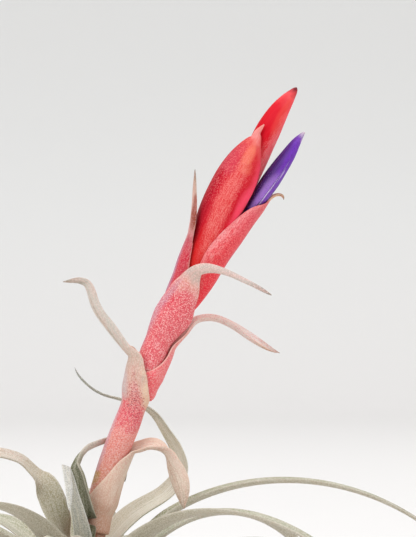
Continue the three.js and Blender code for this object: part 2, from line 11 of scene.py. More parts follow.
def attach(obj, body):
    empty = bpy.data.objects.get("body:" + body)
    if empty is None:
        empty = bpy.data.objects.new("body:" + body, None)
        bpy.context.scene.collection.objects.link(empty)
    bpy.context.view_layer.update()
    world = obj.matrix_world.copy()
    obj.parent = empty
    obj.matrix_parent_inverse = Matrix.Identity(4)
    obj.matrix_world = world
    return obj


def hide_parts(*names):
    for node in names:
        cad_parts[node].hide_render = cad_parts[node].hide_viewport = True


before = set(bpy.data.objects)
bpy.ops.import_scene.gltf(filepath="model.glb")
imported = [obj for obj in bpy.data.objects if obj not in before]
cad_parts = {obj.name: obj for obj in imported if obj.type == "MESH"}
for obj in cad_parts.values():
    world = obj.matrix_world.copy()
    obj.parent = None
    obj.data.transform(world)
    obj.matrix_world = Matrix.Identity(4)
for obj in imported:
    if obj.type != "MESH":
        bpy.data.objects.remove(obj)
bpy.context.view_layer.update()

# Tillandsia harrisii in flower. The tables are in millimetres and degrees, in the part's frame:
# +Z up, X to the right and Y away from the viewer. Azimuths run from the right over the front.
MM = 0.001

THICKNESS = 0.6  # of every leaf and bract, at its middle
CLEARANCE = 0.3  # between two pieces that hug each other
LAYER = THICKNESS + CLEARANCE
LAYER_RISE = 4  # the height over which a sheath makes room for a younger one inside it
GOLDEN_ANGLE = 137.508

LEAF_COUNT = 22  # of the rosette, besides the four youngest, which are shaped one by one
LEAF_LENGTH = 98
LEAF_HALF_WIDTH = 7.5  # at the base of the oldest leaf
YOUNG_LEAF_HALF_WIDTH = 5.4
LEAF_TIP_HALF_WIDTH = 0.4
LEAF_SHEATH_EXTRA = 1.8  # more half width where an old leaf clasps the core
LEAF_SHEATH_SHARE = 0.16  # of the leaf, which clasps the core
LEAF_TAPER = 0.85  # below 1, so that a leaf stays broad for longer
LEAF_FIRST_HEIGHT = 3  # where the lowest leaf leaves the core
LEAF_LAST_HEIGHT = 34
LEAF_RISE = 47  # degrees above the surface, where a leaf starts
STRAIGHT_SHARE = 0.08  # of a leaf, before it starts to bend down
YOUNG_LEAF_FALL = 97  # degrees that a leaf bends down on its way to the tip
OLD_LEAF_FALL = 130
OLD_LEAF_LOSS = 0.16  # the share by which the oldest leaf is shorter
LENGTH_SPREAD = 0.06  # the share by which the leaves differ in length
FALL_SPREAD = 6  # degrees by which they differ in bend
SWEEP_SPREAD = 9  # degrees by which a leaf sweeps sideways
LANDING_HEIGHT = 12  # where a leaf that comes down starts to level out
LEAF_PATH_STEPS = 40
LEAF_CHANNEL = 38  # degrees, half the angle of the gutter across a leaf
TURN_FREE_FROM = 9  # the distance where a leaf starts to turn free of the core
TURN_FREE_SPAN = 14
OPEN_FROM = 8  # the distance where its curve round the core opens into the gutter
OPEN_SPAN = 12
FLATTEST_RADIUS = 60  # of the curve across a leaf
SHAPED_START = 4  # the distance that a shaped leaf counts as at its foot
SHAPED_HURRY = 2  # how much sooner a shaped leaf turns free of the core

STEM_TOP = 126
BUD_RADIUS = 2.4
BUD_TURN = 20  # degrees from the front to the edge of the first petal, at the foot
BUD_TWIST = 22  # degrees more at the tip
BUD_PETAL_STEP = 0.42  # how far one petal's edge stands off the next
PETALS = 3

MARGIN_HUG = 0.24  # how far the margins of a sheath draw in on what it wraps
FLORAL_HUG = 0.4
HUG_FROM = 0.55  # the share of the half width where a margin starts to draw in
LET_GO_FROM = 0.7  # the share of the sheath where its margins start to let go
MARGIN_WIDTH = 0.9  # where a blade thins out to its edge
TIP_LENGTH = 5  # the last part of a blade, which runs out to a point
TIP_HALF_WIDTH = 0.09

LEAF_COLUMNS = 4  # flat strips across a CAD leaf, which its wrap on the core makes room for
LEAF_FINE_COLUMNS = 16
LEAF_FINE_ROWS = 72
LEAF_BUNCHING = 1.12  # rows of a leaf stand closer near its foot
BLADE_COLUMNS = 36
ROWS_FOR_ONE = 8  # fine rows for each row of a CAD bract
SMOOTHING_PASSES = 6
STEM_FINE_ROWS = 90
STEM_FINE_SIDES = 48
BUD_FINE_ROWS = 80
PETAL_FINE_SIDES = 24
PETAL_EDGE_SLOPE = 0.8  # sides of the ring that a petal gives up to the step down to the next


def clamp01(value):
    return min(1.0, max(0.0, value))


def mix(a, b, share):
    return a + (b - a) * share


def ease(share):
    t = clamp01(share)
    return t * t * (3 - 2 * t)


def along(pairs, place):
    """A smooth line through (place, value) pairs."""
    last = len(pairs) - 1
    if place <= pairs[0][0]:
        return pairs[0][1]
    if place >= pairs[last][0]:
        return pairs[last][1]
    i = 0
    while place > pairs[i + 1][0]:
        i += 1

    def slope(k):
        a = pairs[max(0, k - 1)]
        b = pairs[min(last, k + 1)]
        return (b[1] - a[1]) / (b[0] - a[0])

    x0, y0 = pairs[i]
    x1, y1 = pairs[i + 1]
    span = x1 - x0
    t = (place - x0) / span
    t2 = t * t
    t3 = t2 * t
    start = (2 * t3 - 3 * t2 + 1) * y0 + (t3 - 2 * t2 + t) * span * slope(i)
    end = (3 * t2 - 2 * t3) * y1 + (t3 - t2) * span * slope(i + 1)
    return start + end


def run_lengths(points):
    """How far each point lies along the line through them."""
    return [0.0, *accumulate((b - a).length for a, b in zip(points, points[1:]))]


class SmoothPath:
    """A centripetal curve through points, read by its share of the whole length."""

    STEPS = 24  # between two of the points
    NEAR = 0.3  # how far to either side of a place its direction is read

    def __init__(self, controls):
        points = [Vector(p) for p in controls]
        first = points[0] * 2 - points[1]
        last = points[-1] * 2 - points[-2]
        points = [first, *points, last]
        self.points = []
        for i in range(1, len(points) - 2):
            for k in range(self.STEPS):
                self.points.append(self.between(points[i - 1 : i + 3], k / self.STEPS))
        self.points.append(points[-2])
        self.lengths = run_lengths(self.points)
        self.length = self.lengths[-1]

    @staticmethod
    def between(four, t):
        p0, p1, p2, p3 = four
        d0, d1, d2 = [max(1e-4, math.sqrt((b - a).length)) for a, b in zip(four, four[1:])]
        out = ((p1 - p0) / d0 - (p2 - p0) / (d0 + d1) + (p2 - p1) / d1) * d1
        back = ((p2 - p1) / d1 - (p3 - p1) / (d1 + d2) + (p3 - p2) / d2) * d1
        square = -3 * p1 + 3 * p2 - 2 * out - back
        cube = 2 * p1 - 2 * p2 + out + back
        return p1 + out * t + square * t * t + cube * t * t * t

    def at(self, share):
        goal = clamp01(share) * self.length
        high = min(bisect(self.lengths, goal), len(self.lengths) - 1)
        low = high - 1
        span = self.lengths[high] - self.lengths[low]
        return self.points[low].lerp(self.points[high], (goal - self.lengths[low]) / span)

    def direction(self, share):
        step = self.NEAR / self.length
        return (self.at(share + step) - self.at(share - step)).normalized()


LEVEL = [(0, 0), (1, 0)]  # nothing added, from end to end
STEM_LEAN = [
    (0, 0), (24, 0), (40, 0.9), (58, 5), (72.5, 10.5), (84.5, 15.1), (94, 19), (104, 24.6),
    (114.5, 29.8), (123.5, 34.2), (131, 38.2), (138.5, 42.6), (146, 47.6), (156, 54.5),
]
STEM_RADIUS = [
    (0, 6.5), (2, 7), (20, 5.6), (38, 3.4), (46, 2.8), (58, 2.5), (70, 2.7), (77, 2.5), (80, 2.95),
    (84, 2.6), (88, 2.45), (92, 2.2), (99, 2), (103, 1.9), (107, 1.5), (115, 1.2), (126, 0.8),
]

StemFrame = namedtuple("StemFrame", "centre up front right")
Row = namedtuple("Row", "middle inward across radius half")


def stem_frame(height):
    slope = along(STEM_LEAN, height + 0.5) - along(STEM_LEAN, height - 0.5)
    up = Vector((slope, 0, 1)).normalized()
    front = Vector((0, -1, 0))
    return StemFrame(Vector((along(STEM_LEAN, height), 0, height)), up, front, up.cross(front))


def outward(place, azimuth):
    turn = math.radians(azimuth)
    return place.right * math.cos(turn) + place.front * math.sin(turn)


def arc_point(row, share, offset):
    angle = row.half * share
    radius = row.radius + offset
    sideways = row.across * (radius * math.sin(angle))
    return row.middle - row.inward * offset + sideways + row.inward * (radius * (1 - math.cos(angle)))


def carry_frames(points, tangent, inward, twist):
    """Carries the inward direction of the first row along a path, then turns it about the path."""
    frames = []
    last = len(points) - 1
    inward = inward.copy()
    for i in range(last + 1):
        following = (points[min(last, i + 1)] - points[max(0, i - 1)]).normalized()
        inward.rotate(tangent.rotation_difference(following))
        inward = (inward - following * inward.dot(following)).normalized()
        tangent = following
        turned = inward.copy()
        turned.rotate(Quaternion(following, math.radians(twist(i / last))))
        frames.append((turned, following.cross(turned)))
    return frames


def smooth_rows(rows, passes):
    """Evens out the rows, so that a sheath runs into its blade without a kink."""
    for _ in range(passes):
        evened = [rows[0]]
        for before, row, after in zip(rows, rows[1:], rows[2:]):
            mean = Row(*[(a + b * 2 + c) / 4 for a, b, c in zip(before, row, after)])
            mean.inward.normalize()
            mean.across.normalize()
            evened.append(mean)
        evened.append(rows[-1])
        rows = evened
    return rows


# The height where each bract leaves the stem, from the lowest up.
BRACT_FOOT = {
    "peach": 44, "left": 52, "behind": 79, "front": 84, "upper": 95,
    "right_floral": 98, "front_floral": 106, "top_floral": 112,
}
BRACT_ORDER = list(BRACT_FOOT)


def sheath_radius(name, height):
    """The inner radius of a sheath leaves room for every younger sheath inside it."""
    inner = BRACT_ORDER[BRACT_ORDER.index(name) + 1 :]
    layers = sum(ease((height - BRACT_FOOT[other]) / LAYER_RISE + 1) for other in inner)
    return along(STEM_RADIUS, height) + CLEARANCE + LAYER * layers


def sheath_row(name, bract, height):
    """One arc of the sheath that is wrapped on the stem."""
    place = stem_frame(height)
    out = outward(place, along(bract["azimuth"], height))
    if "radius" in bract:
        radius = along(bract["radius"], height)
    else:
        radius = sheath_radius(name, height) + along(bract.get("swell", LEVEL), height)
    centre = place.centre.copy()
    centre += place.right * along(bract.get("shift", LEVEL), height)
    centre += place.front * along(bract.get("forward", LEVEL), height)
    half = math.radians(along(bract["wrap"], height))
    return Row(centre + out * radius, -out, place.up.cross(-out), radius, half)


def bract_rows(name, bract):
    """A sheath wrapped on the stem that narrows into a free blade."""
    low = bract["wrap"][0][0]
    high = bract["wrap"][-1][0]
    sheath_rows, blade_rows = bract["rows"]
    count = sheath_rows * ROWS_FOR_ONE
    rows = [sheath_row(name, bract, mix(low, high, i / count)) for i in range(count + 1)]
    mouth = rows[-1]
    before = sheath_row(name, bract, mix(high, low, 1 / sheath_rows)).middle
    path = SmoothPath([before, mouth.middle, *bract["points"]])
    skip = (before - mouth.middle).length / path.length
    blade_count = blade_rows * ROWS_FOR_ONE
    places = [path.at(mix(skip, 1, (i + 1) / blade_count)) for i in range(blade_count)]
    leaving = path.direction(skip)
    inward = (mouth.inward - leaving * mouth.inward.dot(leaving)).normalized()
    twist = bract.get("twist", LEVEL)
    frames = carry_frames([mouth.middle, *places], leaving, inward, lambda share: along(twist, share))
    widths = [(0, mouth.radius * mouth.half), *bract["half_widths"]]
    opening = [(0, mouth.half), *[(share, math.radians(angle)) for share, angle in bract["channel"]]]
    for i, middle in enumerate(places):
        share = (i + 1) / blade_count
        channel = along(opening, share)
        turned, across = frames[i + 1]
        rows.append(Row(middle, turned, across, along(widths, share) / channel, channel))
    return smooth_rows(rows, SMOOTHING_PASSES)


# Azimuth, wrap (half the angle that a sheath spans), swell, radius, shift to the right and shift
# forward go by height. Half widths, channel and twist go by the share along the free blade. Rows
# are those of the CAD bract, on its sheath and on its blade.
SCAPE_BRACTS = {
    "peach": dict(
        azimuth=[(44, 15), (50, 12), (54, 10), (58, 3), (60.7, -5), (62.85, -9), (65.6, -15)],
        wrap=[(44, 165), (50, 155), (54, 120), (58, 93), (60.7, 84), (62.85, 74), (64.4, 59), (65.6, 47)],
        rows=(8, 10),
        points=[
            (13.2, 0.6, 64.8), (15.6, 0.2, 65.5), (18, -0.3, 64.9), (19.8, -0.8, 63.5), (20.9, -1.5, 60.5),
            (22.3, -2.3, 57.7), (23.4, -3.2, 54.5), (24.2, -4, 50),
        ],
        half_widths=[(0.1, 3.1), (0.35, 2.8), (0.7, 2.7), (0.9, 1.5), (1, 0.45)],
        channel=[(0.3, 58), (0.7, 52), (1, 35)],
        twist=[(0, 0), (0.2, 0), (0.3, -12), (0.39, -45), (0.5, -72), (0.67, -95), (1, -100)],
    ),
    "left": dict(
        azimuth=[(52, 176), (86, 172)],
        wrap=[(52, 165), (73, 162), (76, 150), (77.8, 135), (80, 108), (83, 86), (86, 60)],
        swell=[(74, 0), (78, 0.2), (83, 0.3), (86, 0.6)],
        rows=(10, 11),
        points=[
            (9.6, -1.2, 89.4), (6.5, -1.8, 93.4), (4.6, -2.1, 96), (2.7, -2.3, 98.6), (1.4, -2.4, 101.2),
            (0.7, -2.5, 103.8), (-0.2, -2.5, 106), (-2.2, -2.5, 106.9), (-6.2, -2.4, 106.8),
        ],
        half_widths=[
            (0.1, 2.7), (0.2, 2.2), (0.32, 2.15), (0.45, 1.85), (0.6, 1.7), (0.75, 1.4),
            (0.88, 0.9), (1, 0.35),
        ],
        channel=[(0.2, 62), (0.7, 62), (1, 40)],
        twist=[(0, 0), (0.3, 30), (1, 40)],
    ),
    "behind": dict(
        azimuth=[(77.8, -2), (79, -10), (82, -22), (96, -22)],
        wrap=[
            (77.8, 36), (78.8, 64), (80, 96), (81.2, 128), (82.6, 143),
            (85, 100), (88, 68), (91.5, 52), (96, 37),
        ],
        swell=[(77.8, 0), (79, 0.2), (80.5, 0.1), (82, 0), (85, 0.1), (89, 0.4), (92, 0.35), (96, 0.4)],
        rows=(14, 10),
        points=[
            (26.8, 2.6, 96.6), (29.5, 3.4, 97.3), (32.2, 4, 97.1), (36, 4.9, 95.4),
            (40.1, 5.8, 92.7), (44.6, 6.6, 90.2), (48.2, 7, 88.9),
        ],
        half_widths=[(0.15, 2.1), (0.3, 2.3), (0.5, 2.6), (0.7, 2.5), (0.88, 1.6), (1, 0.4)],
        channel=[(0.2, 60), (0.7, 50), (1, 36)],
        twist=[(0, 0), (0.45, 0), (0.7, 12), (1, 16)],
    ),
    "front": dict(
        azimuth=[(84, 102), (96, 103), (107, 99)],
        wrap=[(84, 165), (93, 152), (97.5, 112), (101.2, 66), (103, 50), (105.3, 36), (107, 26)],
        swell=[(84, 0.1), (90, 0.25), (96, 0.2), (100, 0.45), (103, 0.85), (107, 1)],
        shift=[(84, 0), (87, -0.15), (91, -0.3), (95, -0.1), (98, 0.1), (102, 0.2), (107, 0.35)],
        rows=(8, 11),
        points=[
            (27.4, -7.9, 109.4), (30.2, -9, 109.9), (34.2, -9.9, 109.1),
            (39.4, -10.3, 106.8), (42.4, -10.4, 105.3), (45.8, -10.4, 103.4),
        ],
        half_widths=[(0.14, 1.5), (0.28, 1.2), (0.45, 0.75), (0.65, 0.55), (0.85, 0.42), (1, 0.35)],
        channel=[(0.2, 46), (0.7, 40), (1, 40)],
    ),
    "upper": dict(
        azimuth=[(95, 178), (108, 170), (115, 160)],
        wrap=[(95, 110), (100, 94), (105, 76), (108, 62), (111.5, 42), (115, 26)],
        radius=[(95, 2.3), (99, 3.2), (103, 3.85), (107, 4.3), (110, 4.95), (115, 5.55)],
        shift=[(95, 0), (99, -0.1), (102, -0.4), (105, -0.4), (108, -0.35), (112, -0.1), (115, 0)],
        rows=(7, 9),
        points=[
            (25.6, -2.8, 118.6), (26.2, -3.2, 122), (26.6, -3.2, 126), (26.8, -3, 130.5), (27, -3, 134.6),
        ],
        half_widths=[(0.3, 1.7), (0.5, 1.1), (0.7, 0.6), (0.85, 0.42), (1, 0.3)],
        channel=[(0.3, 40), (0.6, 55), (1, 50)],
        twist=[(0, 0), (1, 20)],
    ),
}

FLORAL_BRACTS = {
    "right_floral": dict(
        azimuth=[(98, 4), (125, 4), (130.2, -18)],
        wrap=[
            (98, 140), (101, 106), (108, 104), (116, 106), (121, 101),
            (124.8, 94), (126.6, 89), (128.5, 78), (130.2, 32),
        ],
        radius=[
            (98, 2.25), (102.5, 2.8), (108, 3.6), (114, 4),
            (120, 3.8), (124, 3.2), (128, 2.85), (130.2, 2.8),
        ],
        shift=[
            (98, 0.1), (102.5, 0.9), (108, 1.2), (114, 1.4),
            (120, 2.7), (124, 3.85), (128, 4.85), (130.2, 5),
        ],
        forward=[(98, 0), (108, 0.5), (114, 1.1), (120, 1.6), (124, 1.2), (130.2, 0.6)],
        rows=(11, 4),
        points=[(46.1, 0.6, 128.1), (47.8, 0.6, 128.6), (48.8, 0.5, 128.2), (49.2, 0.4, 127.2)],
        half_widths=[(0.3, 0.85), (0.6, 0.55), (1, 0.32)],
        channel=[(0.5, 50), (1, 50)],
        tip=1.2,
    ),
    "front_floral": dict(
        azimuth=[(106, 120), (114, 112), (140, 112)],
        wrap=[(106, 140), (110, 110), (116, 92), (124, 84), (132, 82), (136, 74), (139, 58), (141, 38)],
        radius=[
            (106, 2.2), (110, 3.4), (116, 4.1), (120, 4.7), (127, 5.15),
            (132, 5.1), (136, 4.3), (139, 3.1), (141, 2.1),
        ],
        shift=[
            (106, -0.1), (110, -0.4), (116, -0.6), (120, -0.85),
            (124, -1.1), (132, -1.2), (137, -1.4), (141, -1.9),
        ],
        forward=[(106, 0), (116, 0.1), (124, 0.6), (141, 0.4)],
        rows=(12, 3),
        points=[(42.2, -2.2, 143.6), (44.1, -2.2, 145.8)],
        half_widths=[(0.3, 0.75), (0.55, 0.5), (0.75, 0.34), (1, 0.22)],
        channel=[(0.5, 50), (1, 45)],
        tip=2.5,
    ),
    "top_floral": dict(
        azimuth=[(112, 235), (124, 190), (136, 150), (150, 130)],
        wrap=[(112, 120), (122, 130), (130, 148), (140, 142), (146, 112), (151, 80), (153.6, 50)],
        radius=[
            (112, 1.6), (118, 2), (125, 2.4), (131, 2.6), (143, 2.7),
            (147, 2.4), (150, 1.9), (152.5, 1.35), (153.6, 0.95),
        ],
        shift=[
            (112, 0), (118, -0.05), (125, 0.3), (131, 0.7), (137, 0), (143, -1), (149, -1.35), (153.6, -0.8),
        ],
        forward=[(112, -0.2), (118, -0.4), (125, -0.9), (137, -1.8), (143, -1.5), (153.6, -0.8)],
        rows=(14, 2),
        points=[(52.3, 0.2, 155)],
        half_widths=[(0.5, 0.8), (1, 0.5)],
        channel=[(0.5, 50), (1, 45)],
        tip=1.5,
    ),
}


def leaf_half_width(share, base):
    sheath = LEAF_SHEATH_EXTRA * (base / LEAF_HALF_WIDTH) ** 2 * (1 - ease(share / LEAF_SHEATH_SHARE))
    return mix(LEAF_TIP_HALF_WIDTH, base, (1 - share) ** LEAF_TAPER) + sheath


def wrap_radius(foot, half_width):
    core = along(STEM_RADIUS, foot) + 1.2 * CLEARANCE
    return core / math.cos(half_width / core / LEAF_COLUMNS)


def leaf_age(index):
    return 1 - index / (LEAF_COUNT - 1)


def leaf_base(index):
    return mix(YOUNG_LEAF_HALF_WIDTH, LEAF_HALF_WIDTH, leaf_age(index))


def leaf_path(index):
    """A leaf starts wrapped on the core, rises and recurves. The lowest come down to the surface.

    Sines of its number, out of step with one another, stand in for chance.
    """
    age = leaf_age(index)
    foot = mix(LEAF_FIRST_HEIGHT, LEAF_LAST_HEIGHT, (1 - age) ** 0.9)
    length = LEAF_LENGTH * (1 - OLD_LEAF_LOSS * age + LENGTH_SPREAD * math.sin(index * 2.4))
    fall = mix(YOUNG_LEAF_FALL, OLD_LEAF_FALL, age**1.6) + FALL_SPREAD * math.sin(index * 1.7)
    sweep = SWEEP_SPREAD * math.sin(index * 2.9)
    step = length / LEAF_PATH_STEPS
    points = []
    reach = wrap_radius(foot, leaf_half_width(0, leaf_base(index)))
    core = along(STEM_LEAN, foot)
    height = foot
    for i in range(LEAF_PATH_STEPS + 1):
        share = i / LEAF_PATH_STEPS
        turn = math.radians(index * GOLDEN_ANGLE + sweep * share * share)
        points.append(Vector((core + reach * math.cos(turn), reach * math.sin(turn), height)))
        free = LEAF_RISE - fall * (max(0, share - STRAIGHT_SHARE) / (1 - STRAIGHT_SHARE)) ** 0.9
        landing = -math.degrees(math.asin(clamp01((height - THICKNESS) / LANDING_HEIGHT)))
        angle = math.radians(max(free, landing))
        reach += step * math.cos(angle)
        height += step * math.sin(angle)
    return points


def leaf_rows(controls, width_at, twist, channel=LEAF_CHANNEL, hurry=0):
    """A leaf hugs the core at its foot and turns free as it gets away, sooner with hurry."""
    core = Vector((along(STEM_LEAN, controls[0].z), 0, 0))
    path = SmoothPath(controls)
    shares = [(i / LEAF_FINE_ROWS) ** LEAF_BUNCHING for i in range(LEAF_FINE_ROWS + 1)]
    places = [path.at(share) for share in shares]
    start = path.direction(0)
    home = (core - places[0]) * Vector((1, 1, 0))
    home.normalize()
    inward = (home - start * home.dot(start)).normalized()
    frames = carry_frames(places, start, inward, twist)
    rows = []
    for share, middle, (inward, across) in zip(shares, places, frames):
        half_width = width_at(share)
        to_core = (core - middle) * Vector((1, 1, 0))
        reach = to_core.length
        way = SHAPED_START + hurry * share * path.length if hurry else reach
        free = ease((way - TURN_FREE_FROM) / TURN_FREE_SPAN)
        to_core.normalize()
        round_core = Vector((0, 0, 1)).cross(to_core)
        turned = to_core.lerp(inward, free).normalized()
        sideways = round_core.lerp(across, free).normalized()
        open_radius = min(half_width / math.radians(channel), FLATTEST_RADIUS)
        radius = mix(reach, open_radius, ease((way - OPEN_FROM) / OPEN_SPAN))
        rows.append(Row(middle, turned, sideways, radius, half_width / radius))
    return rows


def rosette_leaf_rows(index):
    base = leaf_base(index)
    return leaf_rows(leaf_path(index), lambda share: leaf_half_width(share, base), lambda share: 0)


def shaped_leaf_rows(leaf):
    widths = leaf["half_widths"]
    reach = wrap_radius(leaf["foot"], widths[0][1])
    turn = math.radians(leaf["azimuth"])
    core = along(STEM_LEAN, leaf["foot"])
    start = (core + reach * math.cos(turn), reach * math.sin(turn), leaf["foot"])
    return leaf_rows(
        [Vector(point) for point in [start, *leaf["points"]]],
        lambda share: along(widths, share),
        lambda share: along(leaf["twist"], share),
        leaf["channel"],
        SHAPED_HURRY,
    )


SHAPED_LEAVES = {
    "rounded_leaf": dict(
        foot=36,
        azimuth=-100,
        points=[
            (-1.4, -9, 46), (-3.2, -12, 54), (-4.2, -14, 58.9), (-5, -16.2, 61.3),
            (-4.8, -18.6, 60.2), (-4.2, -22.5, 57), (-3.8, -30, 51),
        ],
        half_widths=[(0, 3.1), (0.15, 2.4), (0.4, 1.6), (0.55, 1.25), (0.65, 1.1), (0.8, 1), (1, 0.4)],
        channel=8,
        twist=[(0, 0), (0.4, -8), (0.6, -22), (1, -22)],
    ),
    "far_left_leaf": dict(
        foot=38,
        azimuth=190,
        points=[
            (-7.4, -2, 47), (-9.3, -2.6, 53), (-11, -2.8, 56.2), (-12.6, -3, 58),
            (-14.2, -3.2, 59.7), (-15.6, -3.4, 61.2), (-16.9, -3.6, 62.2), (-18.6, -3.9, 62.9),
            (-22, -4.4, 63.7), (-30, -5.6, 63.2), (-42, -7.4, 57.5), (-54, -9.2, 48), (-65, -11, 35),
        ],
        half_widths=[
            (0, 5.5), (0.12, 3.8), (0.24, 3.2), (0.29, 2.7), (0.4, 2.5), (0.5, 2.4), (0.8, 1.5), (1, 0.4),
        ],
        channel=38,
        twist=[(0, 0), (0.12, -40), (0.2, -80), (0.24, -82), (0.27, -60), (0.3, -28), (1, -28)],
    ),
    "long_leaf": dict(
        foot=40,
        azimuth=30,
        points=[
            (11, 7, 47.6), (20, 11, 53.6), (23.4, 12.2, 58.6), (22.4, 12.6, 64), (19.4, 12.4, 69),
            (16.4, 11.8, 73.2), (12.8, 11, 75.5), (7.8, 10.2, 76.8), (3.7, 9.4, 77.9), (1.2, 9, 79.2),
            (-0.6, 8.7, 80.6), (-2, 8.5, 82), (-3.1, 8.4, 83.4), (-3.8, 8.4, 84.9),
        ],
        half_widths=[
            (0, 6), (0.12, 4.6), (0.25, 3.8), (0.4, 2.9), (0.5, 2.3), (0.58, 1.7),
            (0.64, 1.4), (0.72, 0.9), (0.8, 0.5), (1, 0.4),
        ],
        channel=38,
        twist=[(0, 0), (0.2, 20), (0.5, 20), (1, 0)],
    ),
    "curled_leaf": dict(
        foot=42,
        azimuth=-135,
        points=[
            (-0.4, -6.5, 50), (-0.9, -6.6, 55), (-1.5, -6.5, 58.1), (-2.1, -6.2, 59.5),
            (-2.6, -5.7, 60.6), (-2.2, -4.9, 61.9), (-1.6, -3.8, 63.3), (-0.4, -2.3, 64.7),
            (1, -0.6, 65.5), (2.8, 1.6, 66.2), (4.3, 3.4, 66.6), (7, 6.4, 66.6), (8.2, 9.5, 65.4),
            (8.7, 14, 61.6), (8.8, 20, 56),
        ],
        half_widths=[
            (0, 3.2), (0.2, 2.7), (0.35, 2.5), (0.45, 1.9), (0.52, 1.5), (0.75, 1.2), (1, 0.4),
        ],
        channel=60,
        twist=[(0, 0), (0.1, -60), (0.2, -150), (0.3, -182), (0.45, -190), (0.6, -182), (1, -180)],
    ),
}


def of_kind(elements, kind):
    return [element for element in elements if isinstance(element, kind)]


def rounding(distance, width):
    """A quarter ellipse: 0 at an edge, 1 from the given width inward."""
    return math.sqrt(1 - (1 - clamp01(distance / width)) ** 2)


def put_in_scene(name, data):
    thing = bpy.data.objects.new(name, data)
    bpy.context.scene.collection.objects.link(thing)
    return thing


def finish_mesh(name, bm, material):
    bmesh.ops.recalc_face_normals(bm, faces=bm.faces)
    mesh = bpy.data.meshes.new(name)
    bm.to_mesh(mesh)
    bm.free()
    mesh.shade_smooth()
    mesh.materials.append(material)
    return put_in_scene(name, mesh)


def blade_piece(name, rows, columns, material, wrapped=0, hug=0.0, tip=TIP_LENGTH):
    """Two grids bent to the outer and the inner face of a blade, welded round its margin.

    The vector attribute "place" holds millimetres across and along the blade. "part" holds the
    share along it, the share across it from -1 to 1, and 0 on the outer and 1 on the inner face.
    """
    bm = bmesh.new()
    place = bm.verts.layers.float_vector.new("place")
    part = bm.verts.layers.float_vector.new("part")
    last = len(rows) - 1
    lengths = run_lengths([row.middle for row in rows])
    whole = lengths[-1]
    for inner in (0, 1):
        grid = bmesh.ops.create_grid(bm, x_segments=columns, y_segments=last, size=0.5)["verts"]
        for vert in grid:
            r = round((vert.co.y + 0.5) * last)
            row = rows[r]
            share = math.sin(math.pi * vert.co.x)
            closing = rounding(whole - lengths[r], tip)
            half = row.half * max(closing, min(1, TIP_HALF_WIDTH / (row.half * row.radius)))
            width = half * row.radius
            full = min(THICKNESS, 1.2 * width)
            full *= rounding(whole - lengths[r], MARGIN_WIDTH) * rounding(lengths[r], MARGIN_WIDTH)
            full *= rounding((1 - abs(share)) * width, MARGIN_WIDTH)
            offset = THICKNESS / 2 + (0.5 - inner) * full
            if wrapped:
                leaving = ease((r / wrapped - LET_GO_FROM) / (1 - LET_GO_FROM))
                drawn = ease((abs(share) - HUG_FROM) / (1 - HUG_FROM))
                offset -= hug * drawn * (1 - leaving)
            vert[place] = (share * width, lengths[r], 0)
            vert[part] = (lengths[r] / whole, share, 0.5 if vert.is_boundary else inner)
            vert.co = arc_point(row._replace(half=half), share, offset) * MM
    margin = [vert for vert in bm.verts if vert.is_boundary]
    bmesh.ops.remove_doubles(bm, verts=margin, dist=1e-8)
    for vert in bm.verts:
        vert.co.z = max(0, vert.co.z)
    return finish_mesh(name, bm, material)


def loft_piece(name, rings, material):
    """A closed rod: one round face drawn out through rings of points."""
    bm = bmesh.new()
    place = bm.verts.layers.float_vector.new("place")
    part = bm.verts.layers.float_vector.new("part")
    sides = len(rings[0])
    ring = bmesh.ops.create_circle(bm, cap_ends=True, segments=sides, radius=1)["verts"]
    gone = 0.0
    for r, points in enumerate(rings):
        if r:
            near = {edge for vert in ring for edge in vert.link_edges}
            edges = [edge for edge in near if all(vert in ring for vert in edge.verts)]
            drawn = bmesh.ops.extrude_edge_only(bm, edges=edges)["geom"]
            fresh = set(of_kind(drawn, bmesh.types.BMVert))
            beside = [[edge.other_vert(vert) for edge in vert.link_edges] for vert in ring]
            ring = [next(vert for vert in verts if vert in fresh) for verts in beside]
            gone += (points[0] - rings[r - 1][0]).length
        for s, (vert, point) in enumerate(zip(ring, points)):
            vert.co = point * MM
            vert[place] = (s / sides, gone, 0)
            vert[part] = (r / (len(rings) - 1), 2 * s / sides - 1, 0)
    bmesh.ops.contextual_create(bm, geom=ring)
    return finish_mesh(name, bm, material)


def stem_rings():
    rings = []
    for r in range(STEM_FINE_ROWS + 1):
        height = STEM_TOP * r / STEM_FINE_ROWS
        place = stem_frame(height)
        if height == 0:
            place = place._replace(right=Vector((1, 0, 0)))
        radius = along(STEM_RADIUS, height)
        turns = [360 * s / STEM_FINE_SIDES for s in range(STEM_FINE_SIDES)]
        rings.append([place.centre + outward(place, turn) * radius for turn in turns])
    return rings


BUD_PATH = [
    (36.6, -0.7, 118.5), (39.5, -0.8, 122.8), (43.1, -0.9, 128), (45.4, -0.9, 131.3),
    (47.8, -0.9, 134.8), (50.1, -0.9, 138.2), (52.1, -0.9, 141.4), (54.1, -0.9, 144),
]
BUD_GIRTH = [
    (0, 0.38), (0.12, 0.54), (0.25, 0.7), (0.37, 0.91), (0.5, 1.02),
    (0.63, 0.95), (0.77, 0.78), (0.89, 0.52), (0.96, 0.28), (1, 0.1),
]


